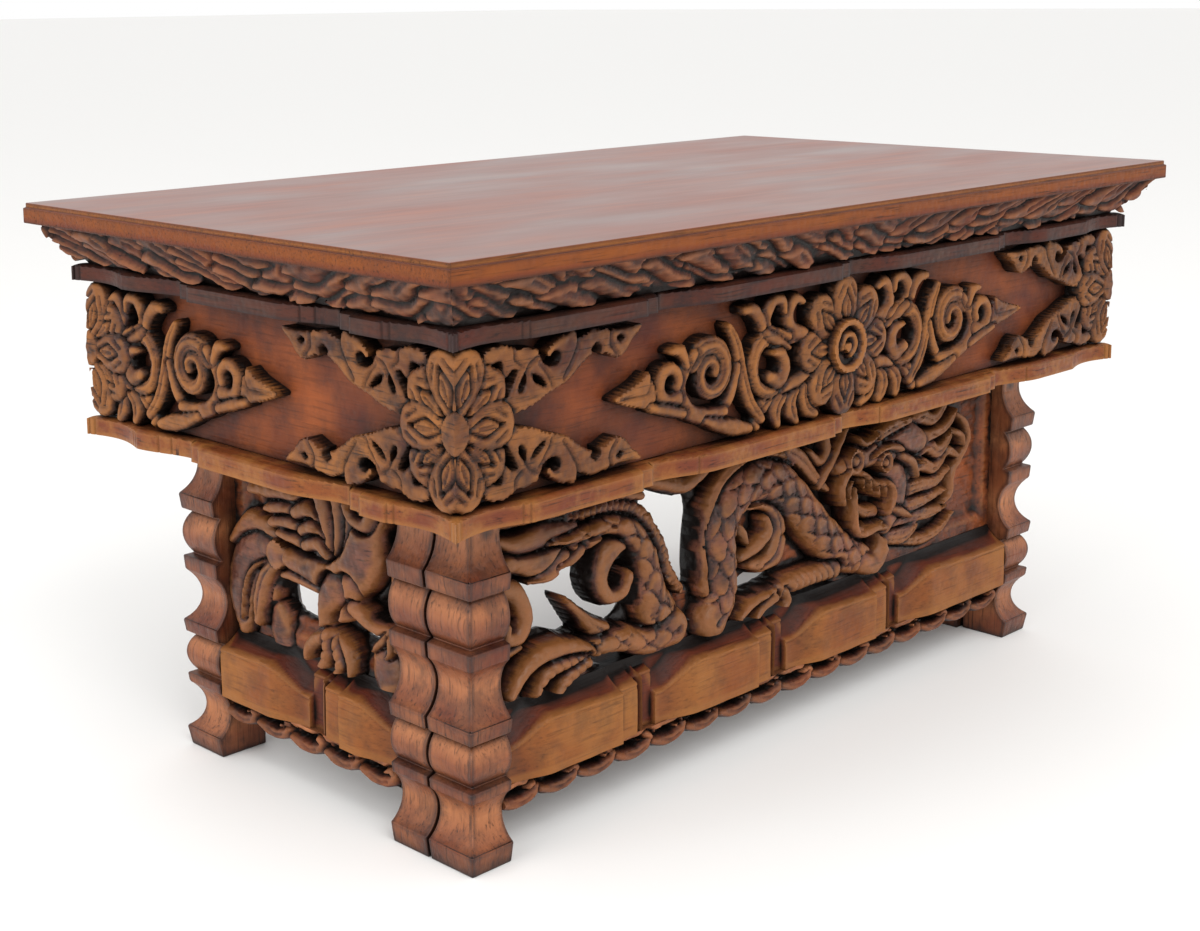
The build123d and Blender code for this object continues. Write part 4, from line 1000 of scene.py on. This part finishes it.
BIRD = [
    # leaves beside the bird
    ([(48, 128), (43, 119), (40, 112)], (6, 8, 4), 8.0),
    ([(43, 116), (46, 108), (47, 98)], (7, 11, 6), 9.0),
    ([(36, 73), (38, 67), (38, 60)], (15, 21, 15), 9.5),
    # tail leaves
    ([(-37, 96), (-41, 85), (-44, 73)], (5, 8, 5), 7.0),
    ([(-34, 107), (-44, 112), (-56, 112), (-68, 103)], (5, 11, 13, 7), 8.0),
    ([(-33, 104), (-48, 103), (-59, 94), (-64, 79), (-61, 63)], (6, 16, 22, 20, 8), 8.8),
    ([(-40, 99), (-52, 93), (-58, 82), (-60, 68)], (2, 3, 3, 2), 9.6),
    ([(-32, 101), (-42, 92), (-47, 80), (-48, 70)], (5, 9, 10, 6), 10.4, "vein"),
    ([(-38, 74), (-38, 67), (-36, 60)], (12, 15, 12), 6.0),
    # rump, body and neck
    ([(-32, 94), (-22, 96), (-8, 97), (4, 98)], (3, 9, 13, 12), 9.5),
    ([(-26, 104), (-12, 103), (4, 103), (16, 108), (24, 119), (30, 136)],
     (9, 13, 20, 27, 28, 18), 12.5),
    ([(16, 100), (16, 92), (12, 85)], (14, 11, 4), 11.5),
    ([(18, 91), (28, 87), (38, 85), (45, 80)], (9, 8, 8, 5), 10.5),
    ([(40, 84), (34, 79), (31, 76)], (5, 4, 2), 10.5),
    ([(42, 83), (42, 78), (40, 75)], (5, 4, 2), 10.5),
    ([(6, 97), (1, 91), (-1, 84), (1, 73)], (17, 13, 8, 8), 11.5),
    ([(2, 75), (-6, 72), (-12, 67), (-13, 62)], (8, 8, 6.5, 4), 11.0),
    ([(4, 75), (12, 72), (16, 66), (16, 61)], (8, 7.5, 6.5, 4), 10.6),
    ([(3, 76), (8, 70), (10, 65), (8, 60)], (7, 7, 7, 4.5), 12.0, "bands"),
    ([(2, 76), (2, 69), (0, 63), (-3, 60)], (7, 7, 7, 4.5), 12.6, "bands"),
    # blades and fingers of the wing
    ([(12, 115), (17, 128), (17, 140)], (4, 7, 7), 10.0),
    ([(9, 113), (11, 126), (8, 140)], (4, 8, 9), 11.0),
    ([(6, 111), (3, 124), (-3, 139)], (4, 9, 11), 11.6),
    ([(-10, 134), (-24, 136), (-38, 139)], (7, 7, 4), 9.0),
    ([(-18, 132), (-34, 131.5), (-50, 130)], (8, 10, 7), 10.8),
    ([(-16, 126), (-28, 125), (-39, 123.5)], (7, 8.5, 6), 11.2),
    ([(-12, 120), (-24, 119.5), (-35, 118)], (7, 8.5, 6), 11.4),
    ([(4, 111), (-12, 113), (-30, 114)], (6, 8.5, 5), 11.4),
    ([(-4, 125), (-10, 128), (-17, 126)], (7, 10, 8), 12.4),
    ([(0, 118), (-6, 121), (-12, 119)], (7, 10, 8), 12.6),
    ([(5, 111), (-2, 115), (-10, 113)], (4, 9, 7), 12.8),
    ([(18, 136), (22, 131), (30, 130), (34, 137)], (6, 8, 9, 7), 13.2),
]


FIGURE_BASE = 10.2  # level that the strokes of the openwork stand on, mm


def draw_figures(board, figures):
    """Carve a list of strokes above the ground of an openwork board."""
    for points, widths, lift, *special in figures:
        cut = special[0] if special else "plain"
        shoulder = {"scales": 0.3, "plain": 0.45, "bands": 0.45}.get(cut, 0.6)
        board.stroke(points, widths, lift, cut, shoulder=shoulder, base=FIGURE_BASE,
                     rim=1.2, toothed=0.3 if cut == "fin" else 0.0)


def dress_frame(board):
    """Lower the ground in a hollow sweep inside the panel's rim, with a slight ripple."""
    ground, band, hollow = 10.0, 5.0, 6
    left, right, bottom, top = board.extent
    wall = np.minimum(np.minimum(board.u - left, right - board.u),
                      np.minimum(board.v - bottom, top - board.v))
    ripple = np.sin(board.u * 0.42 + board.v * 0.2) * np.sin(board.v * 0.37) * 0.35
    board.height = PANEL_RIM - (PANEL_RIM - ground) * eased(wall - band, hollow)
    board.height += ripple * np.clip((wall - band) / hollow, 0, 1)


def place_on(panel, set_out=0):
    """How a board stands on the back of a panel, or set out from it by some mm."""
    *_, back, along, out = panel
    return out * (back + set_out), along, UP, out


def carve_openwork(name, panel, top, fineness, holes, figures, add_details):
    """Carve, pierce and place one openwork panel."""
    board = Board(*panel[1], PANEL_BOTTOM, top, fineness, level=PANEL_RIM, solid=True)
    dress_frame(board)
    for hole in holes:
        board.pierce_shape(hole)
    draw_figures(board, figures)
    add_details(board)
    board.soften(reach=3.2, drop=3.6)
    board.gouge(depth=0.22)
    board.height = np.clip(board.height, 6, 23.4)
    bm = board.solid(ground=~board.figure, thin=6.0)
    stand(bm, *place_on(panel))
    settle(bm, name, "carved", "red_carved_hardwood", smooth=55)


# ------------------------------------------------------------------ operators

FLOOR_HALF = 30  # m
LAMP_SIZE = 1.2  # m
LAMP_AIM = Vector((0, 0, 0.12))
KEY_SPOT = (-0.6, -1.5, 1.5)
SIDE_SPOT = (-1.7, 0.1, 0.9)
CAMERA_SPOT = (-0.6691, -0.5942, 0.3425)
CAMERA_TURN = (80.213, 0.579, -43.747)  # degrees
CAMERA_LENS = {"lens": 55.62, "sensor_width": 36, "sensor_fit": "HORIZONTAL",
               "shift_x": 0.0923, "shift_y": -0.1255, "clip_start": 0.02}


class ALTAR_OT_stage(bpy.types.Operator):
    """Pale floor, even sky, two soft lights and the camera"""

    bl_idname = "altar.stage"
    bl_label = "Stage and camera"

    def execute(self, context):
        scene, look = context.scene, context.scene.altar_stage
        bm = bmesh.new()
        bmesh.ops.create_grid(bm, x_segments=1, y_segments=1, size=FLOOR_HALF)
        mesh = bpy.data.meshes.new("floor")
        bm.to_mesh(mesh)
        bm.free()
        floor = bpy.data.objects.new("floor", mesh)
        scene.collection.objects.link(floor)
        material, tree = new_finish("matt_pale_floor")
        surface(tree, {"Base Color": (*look.floor, 1), "Roughness": 0.9})
        mesh.materials.append(material)
        scene.world = bpy.data.worlds.new("even_sky")
        scene.world.use_nodes = True
        sky = scene.world.node_tree.nodes["Background"]
        sky.inputs["Color"].default_value = (1, 1, 1, 1)
        sky.inputs["Strength"].default_value = look.sky
        scene.view_settings.view_transform = "Standard"
        for name, power, spot in (("key_light", look.key, KEY_SPOT),
                                  ("side_light", look.fill, SIDE_SPOT)):
            lamp = bpy.data.lights.new(name, "AREA")
            lamp.energy = power
            lamp.size = LAMP_SIZE
            holder = bpy.data.objects.new(name, lamp)
            holder.location = spot
            aim = LAMP_AIM - Vector(spot)
            holder.rotation_euler = aim.to_track_quat("-Z", "Y").to_euler()
            scene.collection.objects.link(holder)
        lens = bpy.data.cameras.new("camera")
        for key, value in CAMERA_LENS.items():
            setattr(lens, key, value)
        camera = bpy.data.objects.new("camera", lens)
        camera.location = CAMERA_SPOT
        camera.rotation_euler = Euler([radians(angle) for angle in CAMERA_TURN], "XYZ")
        scene.collection.objects.link(camera)
        scene.camera = camera
        return {"FINISHED"}


class ALTAR_OT_top_board(bpy.types.Operator):
    """Polished top board with its golden fascia"""

    bl_idname = "altar.top_board"
    bl_label = "Top board"

    def execute(self, context):
        piece = worn_piece("top_board", "waxed_fascia_hardwood",
                           context.scene.altar_sizes.board_wear)
        piece.data.materials.append(finish("polished_top_hardwood"))
        piece.data.materials.append(finish("inner_hardwood"))
        for face in piece.data.polygons:
            if abs(face.normal.z) > 0.7:
                face.material_index = 1 if face.normal.z > 0 else 2
        return {"FINISHED"}


class ALTAR_OT_cornices(bpy.types.Operator):
    """Four sloping cornices carved with flowing leaf strands"""

    bl_idname = "altar.cornices"
    bl_label = "Cornices"

    def execute(self, context):
        (low_in, low), (high_in, high) = CORNICE_LOW, CORNICE_HIGH
        sunk, overlap = 5.4, 0.9  # back of the carving behind the slope, and over its core
        width = math.hypot(low_in - high_in, high - low)
        slope = Vector((low_in - high_in, high - low)).normalized()
        for side, half, reach, along, out in FOUR_SIDES:
            name = "cornice_" + side
            up = out * slope.x + Vector((0, 0, slope.y))
            facing = out * slope.y - Vector((0, 0, slope.x))
            origin = out * (reach - low_in) + Vector((0, 0, low)) - facing * sunk
            bm = self.carve(half, width, 11 + len(side)).solid()
            stand(bm, origin, along, up, facing)
            mitre(bm, half, reach, along, out)
            join_core(bm, name, origin + facing * overlap, facing)
            settle(bm, name, "carved", "dark_cornice_hardwood", smooth=55)
        return {"FINISHED"}

    def carve(self, half, width, seed):
        """Leaf strands that overlap and lean along the slope, over a ragged lower edge."""
        board = Board(-half, half, 0, width, fineness=1.0, level=2.2, solid=True)
        chance = np.random.default_rng(seed)
        board.outside = np.maximum(board.outside, 1.2 + 1.2 * np.sin(board.u / 6.1)
                                   + 0.8 * np.sin(board.u / 2.7 + 1) - board.v)
        place = -half - 10
        while place < half + 10:
            lean = 1 if place < 0 else -1
            for level in (0.18, 0.5, 0.82):
                reach = chance.uniform(30, 46)
                start = place + chance.uniform(-9, 9)
                v = width * level + chance.uniform(-2, 2)
                rise = chance.uniform(4, 9) * lean
                thick = chance.uniform(9, 14)
                spine = [(start, v + rise), (start + reach * 0.35, v + rise * 0.75),
                         (start + reach * 0.7, v - rise * 0.4), (start + reach, v - rise)]
                board.stroke(spine, (3, thick, thick * 0.85, 1.2), chance.uniform(3.0, 5.6),
                             shoulder=0.3, rim=2.4)
                board.score([(x, y + thick * 0.14) for x, y in spine[1:]], 1.2, 1.2)
                board.score([(start + reach, v), (start + reach + 7, v - 3 * lean)], 3.4, 2.4)
            place += chance.uniform(20, 27)
        board.gouge(depth=0.35)
        board.height = np.clip(board.height, 0.6, 5.3)
        return board


class ALTAR_OT_mouldings(bpy.types.Operator):
    """Upper and lower bracket-edged mouldings"""

    bl_idname = "altar.mouldings"
    bl_label = "Mouldings"

    def execute(self, context):
        for row, kind, setback, bottom, thick in (
                ("upper", "dark_moulding_hardwood", 14.4, 219.4, 7.6),
                ("lower", "waxed_moulding_hardwood", 17.0, 149.0, 8.6)):
            for side, half, reach, direction, out in FOUR_SIDES:
                run = half - setback
                along = Vector([abs(part) for part in direction])
                stops = (130, 257, 384) if along.x else (84, 189)
                bm = self.carve(run, thick, [stop - setback for stop in stops]).solid()
                base = Vector((0, 0, bottom)) + out * (reach - setback - MOULDING_STRIP)
                stand(bm, base, along, out, UP)
                mitre(bm, run, reach - setback, along, out)
                name = f"{row}_moulding_{side}"
                join_core(bm, name, base + out * 0.3, out)
                settle(bm, name, "carved", kind, smooth=35)
        return {"FINISHED"}

    def carve(self, run, thick, stops):
        """Strip with a cove at each end, and bays that sweep out from a hooked stop."""
        board = Board(-run, run, 0, MOULDING_STRIP, fineness=1.0, level=thick, solid=True)
        place = board.u + run
        cove, sweep = 40, 34
        inset = 4.4 * np.sin(pi * np.clip(place / cove, 0, 1))
        inset += 4.4 * np.sin(pi * np.clip((2 * run - place) / cove, 0, 1))
        for start, end in zip(stops, [*stops[1:], 4 * run]):
            past = place - start
            bay = (past >= 0) & (place < end)
            inset = np.where(bay, inset + 6.6 * (1 - eased(past, sweep)), inset)
        for stop in stops:
            inset = np.where((place > stop - 12) & (place < stop), 3.0, inset)
            inset = np.where((place > stop - 3) & (place < stop), 8.6, inset)
        board.outside = board.v - MOULDING_STRIP + inset
        board.height -= 1.5 * np.clip(1 + board.outside / 3, 0, 1) ** 2
        board.height -= 0.35 * notch(board.outside + 5, 1.2)
        return board


class ALTAR_OT_friezes(bpy.types.Operator):
    """Frieze boards, corner blocks and the pegs that locate the top"""

    bl_idname = "altar.friezes"
    bl_label = "Friezes"

    def execute(self, context):
        for side, *_ in FOUR_SIDES:
            worn_piece("frieze_" + side, "stained_frieze_hardwood", 0.4 * MM)
        worn_piece("corner_glue_blocks", "inner_hardwood", 0.4 * MM)
        worn_piece("locating_pegs", "inner_hardwood", 0.5 * MM)
        return {"FINISHED"}


class ALTAR_OT_frieze_carvings(bpy.types.Operator):
    """Nine applied carvings of flowers and scrolls"""

    bl_idname = "altar.frieze_carvings"
    bl_label = "Frieze carvings"

    def execute(self, context):
        fine = context.scene.altar_sizes.frieze_fineness / MM
        corner_x, corner_y = FRIEZE_SIDE + 10, FRIEZE_FRONT + 10

        def lozenge(board):
            lozenge_arm(board, -4, 1)
            lozenge_arm(board, 0, -1)
            flower(board, 9.6, 12.0)

        def corner(board):
            corner_arms(board)
            flower(board, 9.8, 0)

        def half_lozenge(board):
            lozenge_arm(board, -12, 1, 138)
            flower(board, 9.6, 0)

        carve_frieze_piece("carving_front_centre", 151, lozenge,
                           ((0, -FRIEZE_FRONT, FRIEZE_MIDDLE), (1, 0, 0), UP, (0, -1, 0)),
                           fine, mitred=False)
        for name, x in (("left", -1), ("right", 1)):
            for piece, reach, draw, spot, along, out in (
                    (f"front_{name}", 107, corner, (x * corner_x, -FRIEZE_FRONT), (-x, 0, 0),
                     (0, -1, 0)),
                    (f"{name}_front", 107, corner, (x * FRIEZE_SIDE, -corner_y), (0, 1, 0),
                     (x, 0, 0)),
                    (f"{name}_rear", 139, half_lozenge, (x * FRIEZE_SIDE, corner_y), (0, -1, 0),
                     (x, 0, 0)),
                    (f"back_{name}", 139, half_lozenge, (x * corner_x, FRIEZE_FRONT), (-x, 0, 0),
                     (0, 1, 0))):
                carve_frieze_piece(f"carving_{piece}_corner", reach, draw,
                                   ((*spot, FRIEZE_MIDDLE), along, UP, out), fine)
        return {"FINISHED"}


class ALTAR_OT_dragon_panel(bpy.types.Operator):
    """Openwork dragon between the front legs"""

    bl_idname = "altar.dragon_panel"
    bl_label = "Dragon panel"

    def execute(self, context):
        fine = context.scene.altar_sizes.panel_fineness / MM

        def face(board):
            board.sink_shape(DRAGON_MOUTH, 9.0)
            for points, widths in DRAGON_TEETH:
                board.stroke(points, widths, 12.0, base=FIGURE_BASE, shoulder=0.5)
            board.stroke([(74, 91), (66, 92), (59, 96), (57, 101)], (7, 7, 5, 2), 8.0, "vein",
                         base=9.5)
            for centre, radius in (((50, 121.5), 6.2), ((75, 116.5), 5.4)):
                board.bowl(centre, radius, 22.6, 0.8)
                board.bowl(centre, radius * 0.62, 20.6, 0.4)
                board.bowl(centre, radius * 0.4, 22.0, 1.0)

        carve_openwork("dragon_panel", FRONT, PANEL_TOP, fine, DRAGON_HOLES, DRAGON, face)
        return {"FINISHED"}


BIRD_FINENESS = 0.8  # grid step, mm


class ALTAR_OT_bird_panels(bpy.types.Operator):
    """Openwork birds of the two folding sides"""

    bl_idname = "altar.bird_panels"
    bl_label = "Bird panels"

    def execute(self, context):
        def knob(board):
            board.bowl((-32, 104), 6.6, 20.8, 1.2)

        for panel in FOLDING:
            name = panel[0].replace("side", "bird_panel")
            carve_openwork(name, panel, PANEL_TOP - 0.3, BIRD_FINENESS, BIRD_HOLES, BIRD, knob)
        return {"FINISHED"}


class ALTAR_OT_legs(bpy.types.Operator):
    """Scalloped legs of the front and side panels"""

    bl_idname = "altar.legs"
    bl_label = "Legs"

    def execute(self, context):
        wear = context.scene.altar_sizes.arris_wear
        for leg in ("front_left", "front_right", "left_side_front", "right_side_front",
                    "left_side_rear", "right_side_rear"):
            worn_piece(leg + "_leg", "waxed_leg_hardwood", wear)
        return {"FINISHED"}


class ALTAR_OT_rails(bpy.types.Operator):
    """Bottom rails with tan plaques, and the slim top rails"""

    bl_idname = "altar.rails"
    bl_label = "Rails"

    def execute(self, context):
        wear = context.scene.altar_sizes.arris_wear
        for panel in PANELS:
            name, (first, last), bays, *_ = panel
            # dark: the ledge, the grooves and the painted shade at the low end of each plaque
            board, dark = self.carve(first, last, bays)
            bm = board.solid(ground=dark)
            stand(bm, *place_on(panel))
            settle(bm, name + "_bottom_rail", "carved", "tan_plaque_hardwood", smooth=40)
            worn_piece(name + "_top_rail", "waxed_moulding_hardwood", wear * 0.6)
        return {"FINISHED"}

    def carve(self, first, last, bays):
        """Plaques that swell out in an S beside dark grooves, under a sloping ledge, and the mask
        of the darker ledge and grooves and of the painted shade at the low end of each plaque.
        """
        thick = 24.5
        board = Board(first, last, RAIL_BOTTOM, PANEL_BOTTOM, fineness=0.8, level=thick,
                      solid=True)
        pitch = (last - first) / bays
        run = board.u - first if bays > 2 else last - board.u
        along = run % pitch
        end = np.where(run > pitch * (bays - 1), pitch + 30, pitch)
        swell = eased(along - 4, 21)
        fillet = along > end - 25
        groove = along > end - 13
        inset = np.where(fillet, 2.8, 4.6 * (1 - swell))
        inset = np.where(groove, 7.0 - 3.4 * notch(along - end + 9.6, 1.3), inset)
        crest = 44.8 + 9.4 * swell - 1.4 * np.clip((along - 30) / 34, 0, 1)
        crest = np.where(fillet, 53.4, crest)
        crest = np.where(groove, 55.0, crest)
        ledge = np.clip((board.v - crest) / 1.3 + 0.5, 0, 1)
        scoop = np.clip((board.v - crest) / (PANEL_BOTTOM - crest), 0, 1)
        shelf = np.minimum(inset + 1.6 + 9.5 * (1 - (1 - scoop) ** 1.6), 11.8)
        board.height = thick - inset * (1 - ledge) - shelf * ledge
        board.height -= 0.6 * notch(crest - 2.2 - board.v, 1.0)
        board.height += 0.12 * np.sin(board.u * 0.31 + board.v * 0.23)
        # painted shade on the low, recessed left end of each plaque
        shade = 0.5 * (1 - swell) * ~fillet
        return board, np.maximum(np.maximum(ledge, groove), shade)


SKIRTS = {
    # bays of the rail above: waves, ends of the long slots, place and lean of the short ones
    4: (16, ((-138, -100), (-87, -45), (-36, 2), (22, 60), (80, 118)), ((-160, 1), (150, -1))),
    2: (5, ((-44, -8), (4, 36)), ((-60, 1),)),
}


class ALTAR_OT_skirts(bpy.types.Operator):
    """Skirts of running waves under the rails, pierced by long slots"""

    bl_idname = "altar.skirts"
    bl_label = "Skirts"

    def execute(self, context):
        for panel in PANELS:
            name, (first, last), bays, *_ = panel
            board = self.carve(first, last, *SKIRTS[bays])
            bm = board.solid(ground=np.clip((board.v - 23) / 4, 0, 1))
            stand(bm, *place_on(panel, 8))
            settle(bm, name + "_skirt", "carved", "skirt_carved_hardwood", smooth=55)
        return {"FINISHED"}

    def carve(self, first, last, waves, long_slots, short_slots):
        """Waves along a scalloped lower edge, slots above them, and a band along the rail."""
        board = Board(first, last, SKIRT_BOTTOM, RAIL_BOTTOM, fineness=0.7, level=13.0, solid=True)
        pitch = (last - first) / waves
        phase = (board.u - first) / pitch
        edge = SKIRT_BOTTOM + 3.0 * (1 - np.abs(np.sin(phase * pi))) ** 1.3
        edge += 0.35 * np.sin(phase * 2 * pi * 2.6)
        board.outside = np.maximum(board.outside, edge - board.v)
        board.height = np.where(board.v > 27.4, 12.4, 10.6)
        for wave in range(waves):
            u = first + pitch * (wave + 0.5)
            board.stroke([(u - 13, 22.6), (u - 6, 20.6), (u + 2, 21.2), (u + 8, 24.2),
                          (u + 6, 26.8), (u + 2.4, 25.6)], (4, 6.4, 7, 5.6, 4.4, 2.4), 13.4,
                         shoulder=0.5, rim=1.4)
            board.pierce([(u - 8, 25.4), (u - 3, 25.6), (u - 0.5, 24.6)], (2.2, 3.4, 2.2))
            board.score([(u - 8, 21.8), (u - 1, 20.6), (u + 4, 21.8)], 1.0, 0.9)
        for a, b in long_slots:
            board.pierce([(a, 26.4), ((a + b) / 2, 26.9), (b, 26.2)], (1.8, 1.2, 1.8))
        for u, lean in short_slots:
            board.pierce([(u - 5 * lean, 27.0), (u + 5 * lean, 27.4)], (2.4, 2))
        board.soften(reach=1.8, drop=1.8)
        board.gouge(depth=0.2)
        board.height = np.clip(board.height, 6, 13.6)
        return board


class ALTAR_OT_hinges(bpy.types.Operator):
    """Butt hinges: leaves, pins and screws"""

    bl_idname = "altar.hinges"
    bl_label = "Hinges"

    def execute(self, context):
        for name in frame["nodes"]:
            if "hinge" in name or "screws" in name:
                worn_piece(name, "aged_mild_steel", 0.15 * MM)
        return {"FINISHED"}


STEPS = (ALTAR_OT_stage, ALTAR_OT_top_board, ALTAR_OT_cornices, ALTAR_OT_mouldings,
         ALTAR_OT_friezes, ALTAR_OT_frieze_carvings, ALTAR_OT_dragon_panel,
         ALTAR_OT_bird_panels, ALTAR_OT_legs, ALTAR_OT_rails, ALTAR_OT_skirts, ALTAR_OT_hinges)


class ALTAR_PT_table(bpy.types.Panel):
    """Steps that dress the table, with their sizes and colours"""

    bl_label = "Altar Table"
    bl_idname = "ALTAR_PT_table"
    bl_space_type = "VIEW_3D"
    bl_region_type = "UI"
    bl_category = "Altar Table"

    def draw(self, context):
        for group in ("altar_sizes", "altar_finish", "altar_stage"):
            settings = getattr(context.scene, group)
            box = self.layout.box()
            for key in settings.__annotations__:
                box.prop(settings, key)
        for step in STEPS:
            self.layout.operator(step.bl_idname)


GROUPS = {"altar_sizes": AltarSizes, "altar_finish": AltarFinish, "altar_stage": AltarStage}


def register():
    """Register the settings, the steps and the panel."""
    for cls in (*GROUPS.values(), *STEPS, ALTAR_PT_table):
        bpy.utils.register_class(cls)
    for name, cls in GROUPS.items():
        setattr(bpy.types.Scene, name, PointerProperty(type=cls))


def unregister():
    """Take everything that register added away again."""
    for name in GROUPS:
        delattr(bpy.types.Scene, name)
    for cls in (ALTAR_PT_table, *reversed(STEPS), *GROUPS.values()):
        bpy.utils.unregister_class(cls)


def main():
    """Dress the whole table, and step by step."""
    register()
    for step in STEPS:
        group, name = step.bl_idname.split(".")
        getattr(getattr(bpy.ops, group), name)()


if __name__ == "__main__":
    main()
